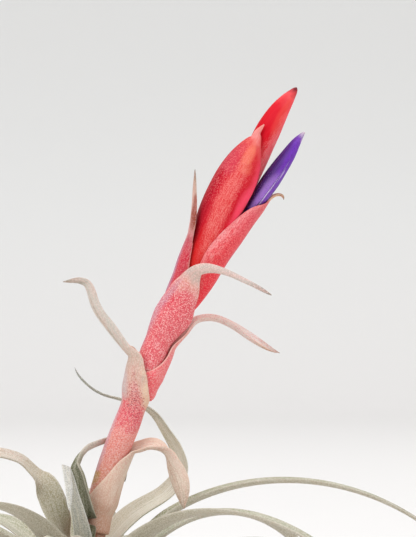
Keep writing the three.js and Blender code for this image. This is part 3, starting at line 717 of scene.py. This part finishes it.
def bud_rings():
    """Three petals rolled into a tube, each with one edge lying over the next."""
    path = SmoothPath(BUD_PATH)
    places = [path.at(r / BUD_FINE_ROWS) for r in range(BUD_FINE_ROWS + 1)]
    front = Vector((0, -1, 0))
    frames = carry_frames(places, path.direction(0), front, lambda share: BUD_TURN + BUD_TWIST * share)
    sides = PETALS * PETAL_FINE_SIDES
    rings = []
    for r, (middle, (inward, across)) in enumerate(zip(places, frames)):
        girth = along(BUD_GIRTH, r / BUD_FINE_ROWS)
        ring = []
        for s in range(sides):
            petal = (s % PETAL_FINE_SIDES) / (PETAL_FINE_SIDES - 1)
            turn = 2 * math.pi * (s - PETAL_EDGE_SLOPE * petal) / sides
            radius = girth * (BUD_RADIUS - BUD_PETAL_STEP * (1 - petal))
            ring.append(middle + inward * (radius * math.cos(turn)) + across * (radius * math.sin(turn)))
        rings.append(ring)
    return rings


def srgb(code):
    """A colour such as "d6a58f" as the numbers that a shader takes."""
    parts = [int(code[i : i + 2], 16) / 255 for i in (0, 2, 4)]
    return (*[p / 12.92 if p <= 0.04045 else ((p + 0.055) / 1.055) ** 2.4 for p in parts], 1)


def feed(tree, node, inputs):
    """Sets each input to a number or a colour, or links it to another node's output."""
    for key, value in inputs.items():
        if isinstance(value, bpy.types.NodeSocket):
            tree.links.new(value, node.inputs[key])
        else:
            node.inputs[key].default_value = value


def add_node(tree, kind, inputs=None, **settings):
    node = tree.nodes.new(kind)
    for key, value in settings.items():
        setattr(node, key, value)
    feed(tree, node, inputs or {})
    return node


def calculate(tree, operation, a, b=0.0):
    return add_node(tree, "ShaderNodeMath", {0: a, 1: b}, operation=operation).outputs[0]


def rise(tree, value, low, high):
    """0 below low and 1 above high, with a soft step between. With low above high it falls."""
    inputs = {0: value, 1: low, 2: high, 3: 0.0, 4: 1.0}
    return add_node(tree, "ShaderNodeMapRange", inputs, interpolation_type="SMOOTHSTEP").outputs[0]


def blend_colour(tree, factor, a, b):
    inputs = {0: factor, 6: a, 7: b}
    return add_node(tree, "ShaderNodeMix", inputs, data_type="RGBA", clamp_factor=True).outputs[2]


def colour_ramp(tree, value, stops):
    node = add_node(tree, "ShaderNodeValToRGB", {0: value})
    elements = node.color_ramp.elements
    elements[0].position, elements[1].position = stops[0][0], stops[-1][0]
    elements[0].color, elements[1].color = srgb(stops[0][1]), srgb(stops[-1][1])
    for position, code in stops[1:-1]:
        elements.new(position).color = srgb(code)
    return node.outputs[0]


def new_group(name, inputs, output):
    """A node group with one number out. Its inputs are numbers, apart from Vector and Place."""
    tree = bpy.data.node_groups.new(name, "ShaderNodeTree")
    for label in inputs:
        kind = "NodeSocketVector" if label in ("Vector", "Place") else "NodeSocketFloat"
        tree.interface.new_socket(name=label, in_out="INPUT", socket_type=kind)
    tree.interface.new_socket(name=output, in_out="OUTPUT", socket_type="NodeSocketFloat")
    given = tree.nodes.new("NodeGroupInput").outputs
    return tree, given, tree.nodes.new("NodeGroupOutput").inputs[output]


def place_group(tree, group, inputs):
    return add_node(tree, "ShaderNodeGroup", inputs, node_tree=group).outputs


def in_sizes(tree, given):
    """A place counted in sizes of the pattern, which are given in millimetres."""
    per_metre = calculate(tree, "DIVIDE", 1 / MM, given["Size"])
    inputs = {0: given["Vector"], "Scale": per_metre}
    return add_node(tree, "ShaderNodeVectorMath", inputs, operation="SCALE").outputs[0]


def make_fleck_group():
    """Fine round specks, strewn at random over the skin. Cover is their radius, in sizes."""
    tree, given, result = new_group("skin_flecks", ["Vector", "Size", "Cover"], "Mask")
    cells = add_node(tree, "ShaderNodeTexVoronoi", {"Vector": in_sizes(tree, given), "Scale": 1.0})
    beyond = calculate(tree, "SUBTRACT", cells.outputs["Distance"], given["Cover"])
    tree.links.new(rise(tree, beyond, 0.12, -0.12), result)
    return tree


def make_streak_group():
    """Fine lines that run along a blade, from its place attribute."""
    tree, given, result = new_group("blade_streaks", ["Place", "Width", "Length"], "Mask")
    parts = add_node(tree, "ShaderNodeSeparateXYZ", {0: given["Place"]}).outputs
    sideways = calculate(tree, "DIVIDE", parts[0], given["Width"])
    lengthways = calculate(tree, "DIVIDE", parts[1], given["Length"])
    stretched = add_node(tree, "ShaderNodeCombineXYZ", {0: sideways, 1: lengthways}).outputs[0]
    noise = add_node(tree, "ShaderNodeTexNoise", {"Vector": stretched, "Scale": 1.0, "Detail": 3.0})
    tree.links.new(rise(tree, noise.outputs["Fac"], 0.4, 0.62), result)
    return tree


def make_mottle_group():
    """Soft patches, around 0, that break up an even colour."""
    tree, given, result = new_group("soft_mottle", ["Vector", "Size"], "Value")
    inputs = {"Vector": in_sizes(tree, given), "Scale": 1.0, "Detail": 2.0}
    noise = add_node(tree, "ShaderNodeTexNoise", inputs).outputs["Fac"]
    tree.links.new(calculate(tree, "SUBTRACT", noise, 0.5), result)
    return tree


OVAL_INPUTS = ["Along", "Across", "Middle Along", "Middle Across", "Reach Along", "Reach Across"]


def make_oval_group():
    """A soft oval on a blade: 1 at its middle and 0 beyond its reach along and across."""
    tree, given, result = new_group("soft_oval", OVAL_INPUTS, "Mask")
    squares = []
    for axis in ("Along", "Across"):
        away = calculate(tree, "SUBTRACT", given[axis], given["Middle " + axis])
        away = calculate(tree, "DIVIDE", away, given["Reach " + axis])
        squares.append(calculate(tree, "MULTIPLY", away, away))
    tree.links.new(rise(tree, calculate(tree, "ADD", *squares), 1.0, 0.1), result)
    return tree


FLECKS = make_fleck_group()
STREAKS = make_streak_group()
MOTTLE = make_mottle_group()
OVAL = make_oval_group()


def oval_mask(tree, face, *oval):
    return place_group(tree, OVAL, dict(zip(OVAL_INPUTS, [*face, *oval])))["Mask"]


def skin_colour(tree, look):
    """The colour of a skin, which runs along the blade on each face, and the relief on it."""
    where = add_node(tree, "ShaderNodeTexCoord").outputs["Object"]
    place = add_node(tree, "ShaderNodeAttribute", attribute_name="place").outputs["Vector"]
    part = add_node(tree, "ShaderNodeAttribute", attribute_name="part").outputs["Vector"]
    share, across, inner = add_node(tree, "ShaderNodeSeparateXYZ", {0: part}).outputs
    patch_size, patch_depth = look["mottle"]
    mottle = place_group(tree, MOTTLE, {"Vector": where, "Size": patch_size})["Value"]
    wander = calculate(tree, "MULTIPLY", mottle, patch_depth)
    face = (calculate(tree, "ADD", share, wander), calculate(tree, "ADD", across, wander))
    outer_face = colour_ramp(tree, face[0], look["outer"])
    for *oval, code, amount in look["ovals"]:
        mask = calculate(tree, "MULTIPLY", oval_mask(tree, face, *oval), amount)
        outer_face = blend_colour(tree, mask, outer_face, srgb(code))
    inner_face = colour_ramp(tree, face[0], look["inner"])
    colour = blend_colour(tree, rise(tree, inner, 0.35, 0.65), outer_face, inner_face)
    strewn = []
    for *oval, code, width, length, amount in look["streaks"]:
        inputs = {"Place": place, "Width": width, "Length": length}
        strewn.append((place_group(tree, STREAKS, inputs)["Mask"], oval, code, amount))
    for *oval, code, size, cover, amount in look["flecks"]:
        inputs = {"Vector": where, "Size": size, "Cover": cover}
        strewn.append((place_group(tree, FLECKS, inputs)["Mask"], oval, code, amount))
    relief = 0.0
    for pattern, oval, code, amount in strewn:
        mask = calculate(tree, "MULTIPLY", pattern, oval_mask(tree, face, *oval))
        colour = blend_colour(tree, calculate(tree, "MULTIPLY", mask, amount), colour, srgb(code))
        relief = calculate(tree, "ADD", relief, mask)
    low, high, code, amount = look["margin"]
    edge = calculate(tree, "ADD", calculate(tree, "ABSOLUTE", across), wander)
    rim = calculate(tree, "MULTIPLY", rise(tree, edge, low, high), amount)
    return blend_colour(tree, rim, colour, srgb(code)), relief


def skin(name, look):
    """The finish of a leaf, bract or petal."""
    material = bpy.data.materials.new(name)
    material.use_nodes = True
    tree = material.node_tree
    shader = tree.nodes["Principled BSDF"]
    colour, relief = skin_colour(tree, look)
    inputs = {"Height": relief, "Strength": look["bump"], "Distance": RELIEF_DEPTH * MM}
    bump = add_node(tree, "ShaderNodeBump", inputs).outputs[0]
    feed(tree, shader, {
        "Base Color": colour,
        "Normal": bump,
        "Roughness": look["roughness"],
        "Specular IOR Level": look["gloss"],
        "Sheen Weight": look["sheen"],
        "Sheen Roughness": DOWN_ROUGHNESS,
        "Sheen Tint": srgb(DOWN_COLOUR),
        "Subsurface Weight": look["glow"],
        "Subsurface Radius": GLOW_SPREAD,
        "Subsurface Scale": GLOW_DEPTH * MM,
    })
    return material


RELIEF_DEPTH = 0.03
DOWN_ROUGHNESS = 0.3  # of the fine down, which shows as a sheen
DOWN_COLOUR = "d9d2ee"
GLOW_DEPTH = 0.4  # how deep light gets into the flesh
GLOW_SPREAD = (1.0, 0.45, 0.35)  # red light gets further than green and blue

# Ovals, streaks and flecks start with their middle along and across and their reach along and
# across, as shares of the blade. Then ovals have a colour and an amount, streaks a colour, a width,
# a length and an amount, and flecks a colour, a size, a cover and an amount. A margin has the shares
# of the half width where it starts and is full, a colour and an amount. A mottle has a size and a
# depth.
ALL_OVER = (0.5, 0, 3, 6)

SHEATH = dict(
    inner=[(0, "d8a890"), (0.5, "d9b49c"), (1, "c4b5a0")],
    ovals=[],
    streaks=[(*ALL_OVER, "eea79c", 0.4, 5.0, 0.2)],
    flecks=[(*ALL_OVER, "f6d6d0", 0.34, 0.45, 0.35), (*ALL_OVER, "cf3f4c", 0.5, 0.34, 0.35)],
    margin=(0.95, 1.0, "e6b8aa", 0.4),
    mottle=(3.0, 0.12),
    roughness=0.6,
    gloss=0.2,
    sheen=0.06,
    glow=0.08,
    bump=0.25,
)

LOOKS = {
    "peach": dict(
        SHEATH,
        outer=[(0, "d4a088"), (0.35, "e4cab8"), (0.6, "e0cabc"), (0.85, "d8c6b4"), (1, "a58e7a")],
        inner=[(0, "e8c0a6"), (0.4, "f2dac6"), (0.7, "f0dac8"), (1, "c8b4a0")],
        ovals=[(0.75, 0, 0.2, 0.5, "b8a48c", 0.5)],
        streaks=[(*ALL_OVER, "d6907c", 0.3, 4.0, 0.22), (0.5, 0, 0.6, 0.7, "fbeee2", 0.3, 7.0, 0.45)],
        flecks=[
            (*ALL_OVER, "f8ece2", 0.34, 0.42, 0.35),
            (0.5, 0.9, 0.3, 0.5, "dc7f74", 0.4, 0.36, 0.5),
            (0.7, -0.3, 0.25, 0.8, "c07a68", 0.45, 0.34, 0.4),
        ],
        margin=(0.86, 1.0, "ecd3c0", 0.6),
    ),
    "left": dict(
        SHEATH,
        outer=[
            (0, "c28066"), (0.16, "de9082"), (0.28, "ea9088"), (0.36, "de6c72"), (0.41, "de7a72"),
            (0.47, "d6a294"), (0.56, "c8b0a0"), (0.66, "c6c0b6"), (0.9, "c4beb4"), (1, "8f8676"),
        ],
        inner=[(0, "d8a890"), (0.5, "d6bca4"), (1, "c9b7a0")],
        ovals=[
            (0.355, -0.5, 0.07, 0.6, "e0485c", 0.6),
            (0.43, -0.55, 0.08, 0.22, "de8488", 0.55),
            (0.45, -0.98, 0.1, 0.34, "e8cdae", 0.8),
            (0.46, 0, 0.1, 0.4, "c4b8b8", 0.88),
            (0.2, -0.06, 0.22, 0.18, "cc9caa", 0.75),
            (0.09, -0.1, 0.045, 0.26, "b08c34", 0.8),
            (0.72, -0.1, 0.2, 0.14, "a89888", 0.7),
        ],
        flecks=[
            (*ALL_OVER, "f2e6de", 0.34, 0.44, 0.35),
            (0.3, 0, 0.22, 2, "c93f4e", 0.45, 0.34, 0.5),
            (0.42, -0.56, 0.12, 0.34, "a03040", 0.45, 0.34, 0.75),
        ],
    ),
    "behind": dict(
        SHEATH,
        outer=[
            (0, "ee5860"), (0.25, "ee6e76"), (0.37, "e49a92"), (0.48, "d8c0b6"), (0.8, "d8cec8"),
            (0.93, "c3a890"), (1, "7d6350"),
        ],
        inner=[(0, "d06a68"), (0.35, "d89080"), (0.48, "e0ccc2"), (0.85, "dcd2cc"), (1, "8a7460")],
        margin=(0.93, 1.0, "f0cabc", 0.6),
    ),
    "front": dict(
        SHEATH,
        outer=[
            (0, "e2626c"), (0.3, "e4646e"), (0.38, "e0505e"), (0.44, "de747a"), (0.49, "d99c90"),
            (0.56, "cab4aa"), (0.85, "ccc0b8"), (1, "8f8b80"),
        ],
        # The second oval here, mauve where the sheath turns edge-on at the left, is painted sheen.
        ovals=[(0.4, 0, 0.06, 0.8, "de4656", 0.5), (0.25, 0.6, 0.3, 0.42, "b890a4", 0.65)],
        flecks=[
            (*ALL_OVER, "fadcd8", 0.34, 0.42, 0.5),
            (0.25, 0, 0.28, 2, "cc2038", 0.42, 0.38, 0.6),
        ],
    ),
    "upper": dict(
        SHEATH,
        gloss=0.1,
        sheen=0.02,
        outer=[
            (0, "c62c42"), (0.45, "c82840"), (0.56, "c0505e"), (0.64, "cf9490"), (0.8, "d4b2a6"),
            (0.92, "b09884"), (1, "6f6252"),
        ],
        inner=[(0, "c04850"), (0.45, "a84c48"), (0.6, "8a5038"), (0.8, "94705c"), (1, "6f6252")],
        ovals=[
            # This oval, mauve down the middle where the sheath turns edge-on at the left, is painted sheen.
            (0.3, 0, 0.3, 0.32, "b088a4", 0.75),
            (0.73, -0.75, 0.13, 1.0, "8a3a24", 0.97),
            (0.66, 0.5, 0.2, 0.6, "dcc8c4", 0.6),
        ],
        flecks=[(*ALL_OVER, "efc4c6", 0.34, 0.38, 0.26), (0.4, 0, 0.3, 2, "b8223a", 0.45, 0.36, 0.45)],
    ),
}

FLORAL = dict(
    SHEATH,
    outer=[
        (0, "dc2a20"), (0.2, "d62020"), (0.35, "cc1426"), (0.6, "cc142a"), (0.78, "d22c34"),
        (0.9, "de625c"), (1, "e49a90"),
    ],
    inner=[(0, "b4161e"), (1, "c8444a")],
    margin=(0.96, 1.0, "e06a78", 0.5),
    mottle=(3.5, 0.15),
    roughness=0.5,
    sheen=0.03,
    glow=0.06,
)

FLORAL_LOOKS = {
    "right_floral": dict(
        FLORAL,
        gloss=0.16,
        outer=[
            (0, "dc1a2c"), (0.25, "e82838"), (0.45, "ea444c"), (0.6, "e65058"), (0.75, "de5a66"),
            (0.84, "d66a68"), (0.88, "d2a888"), (0.93, "cdb48c"), (0.98, "a89468"), (1, "5f5a44"),
        ],
        inner=[(0, "b4161e"), (0.84, "c8444a"), (0.88, "d2a888"), (0.97, "b09c70"), (1, "5f5a44")],
        # The second oval here, mauve down the middle where the bract turns edge-on at the right, is painted
        # sheen.
        ovals=[(0.6, 0.92, 0.3, 0.16, "f0a8a8", 0.5), (0.5, 0, 0.45, 0.16, "c46078", 0.5)],
        streaks=[(0.5, 0.8, 0.4, 0.28, "f4b8b6", 0.2, 1.6, 0.5), (*ALL_OVER, "ea5a60", 0.4, 3.0, 0.3)],
        flecks=[(*ALL_OVER, "f5a8a4", 0.34, 0.4, 0.3), (0.5, 0, 0.4, 2, "c8142c", 0.45, 0.36, 0.5)],
        margin=(0.97, 1.0, "f2c2c2", 0.6),
    ),
    "front_floral": dict(
        FLORAL,
        gloss=0.08,
        sheen=0,
        ovals=[
            # This oval, deep red on the left flank, is painted shade.
            (0.45, 0.7, 0.5, 0.7, "a00420", 0.9),
            (0.5, -0.95, 0.4, 0.4, "ff5270", 0.9),
            # This oval, lighter down the middle, is a painted highlight.
            (0.5, -0.2, 0.34, 0.3, "e84a46", 0.6),
            (0.8, -0.28, 0.12, 0.36, "f08468", 0.7),
            (0.74, 0.35, 0.12, 0.5, "c8485a", 0.6),
            (0.93, 0.2, 0.06, 2, "f0a09c", 0.7),
        ],
        streaks=[
            # These pale streaks down the middle are scurf, gathered and lightened there as a painted
            # highlight.
            (0.47, -0.2, 0.4, 0.34, "f6a8a0", 0.16, 2.4, 0.35),
            (*ALL_OVER, "e23c48", 0.35, 4.0, 0.25),
        ],
        flecks=[
            (0.7, 0.3, 0.3, 1.0, "ee9c98", 0.34, 0.36, 0.35),
            # These pale flecks down the middle are scurf, gathered there as a painted highlight.
            (0.47, -0.2, 0.42, 0.38, "f8aca0", 0.28, 0.34, 0.38),
            (*ALL_OVER, "e8706c", 0.34, 0.32, 0.2),
        ],
    ),
    "top_floral": dict(
        FLORAL,
        gloss=0.08,
        sheen=0,
        outer=[
            (0, "b4142c"), (0.4, "e8303e"), (0.55, "e4202e"), (0.7, "d20a20"), (0.86, "da1e2e"),
            (0.95, "ea585c"), (1, "4a1822"),
        ],
        ovals=[
            (0.62, -0.85, 0.4, 0.34, "ff6a74", 0.8),
            (0.6, 0.3, 0.35, 0.4, "c00010", 0.6),
            # This oval, orange-red near the tip, is partly the bract's own orange and partly a painted
            # highlight.
            (0.85, -0.6, 0.15, 0.3, "ec5048", 0.6),
            # This oval, dark purple low on the left, is a painted shadow from the front floral bract.
            (0.5, 0.2, 0.2, 0.25, "8c1236", 0.5),
        ],
        streaks=[
            (0.6, -0.75, 0.3, 0.35, "f4a8a4", 0.24, 2.0, 0.3),
            (*ALL_OVER, "e2303c", 0.35, 5.0, 0.2),
        ],
        flecks=[(0.6, -0.75, 0.3, 0.4, "f0a09c", 0.3, 0.34, 0.35)],
    ),
}

PETAL_LOOK = dict(
    FLORAL,
    outer=[
        (0, "3a1c5c"), (0.3, "7a46ac"), (0.6, "7038ac"), (0.85, "7034b4"), (0.95, "7c46b4"), (1, "d5c8cc"),
    ],
    ovals=[
        (0.42, 0.44, 0.6, 0.58, "2c1448", 0.9),
        (0.4, 0.94, 0.27, 0.28, "ac80d4", 0.65),
        # This oval, dark violet beside the overlapping edge, is painted shade on the petal underneath.
        (0.5, -0.55, 0.5, 0.3, "40207a", 0.6),
        (0.95, -0.6, 0.06, 0.5, "cdb4d8", 0.8),
    ],
    # The second streaks here, a thin pale lilac line along the overlapping petal edge, are a painted
    # highlight.
    streaks=[(*ALL_OVER, "8050b8", 0.02, 4.0, 0.2), (0.5, -0.97, 0.28, 0.09, "f0e2fa", 0.04, 9.0, 1.0)],
    flecks=[(0.35, 0, 0.35, 2, "b08cd8", 0.5, 0.34, 0.3), (*ALL_OVER, "40206c", 0.5, 0.32, 0.35)],
    margin=(1.5, 2.0, "b79ad9", 0.0),
    roughness=0.42,
    gloss=0.16,
)

LEAF_LOOK = dict(
    SHEATH,
    outer=[(0, "b8ab92"), (0.12, "b4ac98"), (0.5, "bab09a"), (0.85, "b3aa96"), (1, "8d806c")],
    inner=[(0, "94946c"), (0.3, "9a9a7c"), (0.7, "a2a288"), (1, "8d806c")],
    streaks=[(*ALL_OVER, "cfc8b8", 0.6, 9.0, 0.4), (0.5, 0, 1, 0.3, "d6cfbf", 0.5, 12.0, 0.4)],
    flecks=[(*ALL_OVER, "e2dfd6", 0.35, 0.5, 0.5), (*ALL_OVER, "8a866c", 0.4, 0.38, 0.3)],
    margin=(0.85, 1.0, "cdc6b8", 0.4),
    roughness=0.7,
    gloss=0.2,
    sheen=0.12,
    glow=0.03,
)

PALE_FACE = [(0, "a2a298"), (0.5, "b0b0ac"), (1, "b0b0ac")]
ROSY_TURN = [(0.27, "bcae98"), (0.34, "c6b0a2"), (0.8, "bda58f"), (1, "8d806c")]
THREAD_END = [(0.85, "84867e"), (1, "6c706c")]

SHAPED_LOOKS = {
    "rounded_leaf": dict(
        LEAF_LOOK,
        outer=PALE_FACE,
        inner=PALE_FACE,
        margin=(0.8, 1.0, "ecedec", 0.5),
    ),
    "far_left_leaf": dict(
        LEAF_LOOK,
        outer=[(0, "b3ad92"), (0.2, "b4aa90"), *ROSY_TURN],
        inner=[(0, "a9a888"), (0.2, "b0a68a"), *ROSY_TURN],
    ),
    "long_leaf": dict(
        LEAF_LOOK,
        outer=[(0, "e2dcc8"), (0.45, "e6e0ce"), (0.6, "d4d0bc"), (0.7, "b0ac9a"), *THREAD_END],
        inner=[(0, "e2dcc8"), (0.45, "e6e0ce"), (0.6, "d2ceb8"), (0.7, "aeaa96"), *THREAD_END],
        ovals=[(0.45, 0.75, 0.7, 0.35, "a4a48a", 0.6), (0.45, -0.8, 0.7, 0.3, "9a9a80", 0.5)],
        streaks=[
            (0.45, 0, 0.7, 0.5, "fffdf2", 0.35, 14.0, 0.7),
            (0.45, 0, 0.7, 2, "9a9c80", 0.3, 10.0, 0.3),
        ],
        flecks=[(*ALL_OVER, "f4f2ea", 0.35, 0.5, 0.45)],
    ),
    "curled_leaf": dict(
        LEAF_LOOK,
        # Its dark olive at the foot of the outer face is partly the olive of the inner face and partly
        # painted shade.
        outer=[(0, "74765a"), (0.34, "74765a"), (0.46, "ccc4b8"), (0.7, "d0c7bd"), (1, "8d806c")],
        inner=[(0, "5c5e42"), (0.38, "5c5e42"), (0.48, "7c7c60"), (0.6, "a8a28c"), (1, "8d806c")],
        streaks=[(*ALL_OVER, "d6cfbf", 0.5, 12.0, 0.25)],
        flecks=[(*ALL_OVER, "e2dfd6", 0.35, 0.5, 0.2), (*ALL_OVER, "64664a", 0.4, 0.38, 0.3)],
    ),
}

STEM_LOOK = dict(
    SHEATH,
    outer=[(0, "7d5f48"), (0.12, "9b7d60"), (0.35, "b98a72"), (0.5, "c98a70"), (1, "c97a68")],
    margin=(1.5, 2.0, "9b7d60", 0.0),
    streaks=[(*ALL_OVER, "8a6a50", 0.03, 6.0, 0.4)],
)


def settle(piece, node):
    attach(piece, "root")
    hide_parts(node)


def make_bract(name, node, bract, look, hug):
    wrapped = bract["rows"][0] * ROWS_FOR_ONE
    tip = bract.get("tip", TIP_LENGTH)
    rows = bract_rows(name, bract)
    finish = skin(node + "_skin", look)
    settle(blade_piece(node + "_blade", rows, BLADE_COLUMNS, finish, wrapped, hug, tip), node)


def make_bracts():
    for name, bract in SCAPE_BRACTS.items():
        hug = FLORAL_HUG if name == "upper" else MARGIN_HUG
        make_bract(name, name + "_scape_bract", bract, LOOKS[name], hug)
    for name, bract in FLORAL_BRACTS.items():
        hug = FLORAL_HUG if name == "right_floral" else 0
        make_bract(name, name + "_bract", bract, FLORAL_LOOKS[name], hug)


def make_leaf(node, rows, finish):
    settle(blade_piece(node + "_blade", rows, LEAF_FINE_COLUMNS, finish), node)


def make_leaves():
    leaf_skin = skin("leaf_skin", LEAF_LOOK)
    for i in range(LEAF_COUNT):
        make_leaf(f"leaf_{i + 1:02d}", rosette_leaf_rows(i), leaf_skin)
    for node, leaf in SHAPED_LEAVES.items():
        make_leaf(node, shaped_leaf_rows(leaf), skin(node + "_skin", SHAPED_LOOKS[node]))


def make_plant():
    settle(loft_piece("scape_and_core", stem_rings(), skin("stem_skin", STEM_LOOK)), "stem")
    make_bracts()
    settle(loft_piece("rolled_petals", bud_rings(), skin("petal_skin", PETAL_LOOK)), "flower_bud")
    make_leaves()


# The photo's frame is 416 by 537 pixels of a quarter millimetre each, at the plant's axis.
PIXEL = 0.25
FRAME_HEIGHT = 537 * PIXEL
VIEW_MIDDLE = Vector((30, 0, 109.9))
CAMERA_DISTANCE = 1300

# The studio is in metres. A light has its place, its aim, its size across and its power.
SWEEP_HALF_WIDTH = 2.2
SWEEP_FRONT = -1.6
SWEEP_BACK = 2.5  # where the floor starts to curve up
SWEEP_TURN = 0.5
SWEEP_WALL = 2.2
# The paper darkens from the floor up the backdrop: a painted shade for the light that falls off with height.
PAPER_PAINTED_SHADE = [(0, "f2f0ef"), (0.5, "ebebea"), (1, "e2e2e1")]
PAINTED_SHADE_FROM = -0.05  # the heights between which the paper darkens
PAINTED_SHADE_TO = 0.35
LIGHTS = {
    "key": ((-0.55, -0.8, 0.75), (0.03, 0, 0.1), 0.7, 4.2),
    "fill": ((0.9, -0.8, 0.5), (0.03, 0, 0.1), 0.9, 1.5),
    "top": ((0, 0.2, 1.4), (0, 0.3, 0), 1.2, 10),
    "backdrop": ((0, 1.6, 1.5), (0, 3, 0.1), 1.5, 7.5),
}
ROOM_LIGHT = 0.66


def make_camera():
    camera = bpy.data.cameras.new("camera")
    camera.sensor_fit = "VERTICAL"
    camera.sensor_height = 24
    camera.lens = camera.sensor_height * CAMERA_DISTANCE / FRAME_HEIGHT
    camera.clip_start = 0.05
    camera.clip_end = 20
    holder = put_in_scene("camera", camera)
    holder.location = (VIEW_MIDDLE + Vector((0, -CAMERA_DISTANCE, 0))) * MM
    holder.rotation_euler = (math.radians(90), 0, 0)
    bpy.context.scene.camera = holder


def draw_out(bm, edges, way):
    """Extrudes edges, moves what is new and returns its edges."""
    ends = bmesh.ops.extrude_edge_only(bm, edges=edges)["geom"]
    bmesh.ops.translate(bm, verts=of_kind(ends, bmesh.types.BMVert), vec=way)
    return of_kind(ends, bmesh.types.BMEdge)


def make_paper():
    material = bpy.data.materials.new("pale_paper")
    material.use_nodes = True
    tree = material.node_tree
    where = add_node(tree, "ShaderNodeTexCoord").outputs["Object"]
    height = add_node(tree, "ShaderNodeSeparateXYZ", {0: where}).outputs[2]
    # Painted shade: the paper darkens with height.
    painted_shade = colour_ramp(tree, rise(tree, height, PAINTED_SHADE_FROM, PAINTED_SHADE_TO), PAPER_PAINTED_SHADE)
    feed(tree, tree.nodes["Principled BSDF"], {"Base Color": painted_shade, "Roughness": 0.9})
    return material


def make_sweep():
    """A pale floor that curves up into a backdrop."""
    bm = bmesh.new()
    front = [bm.verts.new((x, SWEEP_FRONT, 0)) for x in (-SWEEP_HALF_WIDTH, SWEEP_HALF_WIDTH)]
    floor_end = draw_out(bm, [bm.edges.new(front)], (0, SWEEP_BACK - SWEEP_FRONT, 0))
    rolled = bmesh.ops.spin(
        bm,
        geom=floor_end,
        cent=(0, SWEEP_BACK, SWEEP_TURN),
        axis=(1, 0, 0),
        angle=math.radians(90),
        steps=16,
    )["geom_last"]
    draw_out(bm, of_kind(rolled, bmesh.types.BMEdge), (0, 0, SWEEP_WALL))
    sweep = finish_mesh("paper_sweep", bm, make_paper())


def make_light(name, place, aim, size, power):
    light = bpy.data.lights.new(name, "AREA")
    light.shape = "DISK"
    light.size = size
    light.energy = power
    holder = put_in_scene(name, light)
    holder.location = place
    holder.rotation_euler = (Vector(aim) - Vector(place)).to_track_quat("-Z", "Y").to_euler()


def make_studio():
    make_sweep()
    for name, light in LIGHTS.items():
        make_light(name, *light)
    world = bpy.data.worlds.new("studio")
    world.use_nodes = True
    background = world.node_tree.nodes["Background"]
    background.inputs["Color"].default_value = (1, 1, 1, 1)
    background.inputs["Strength"].default_value = ROOM_LIGHT
    bpy.context.scene.world = world
    bpy.context.scene.view_settings.view_transform = "Standard"


make_plant()
make_camera()
make_studio()
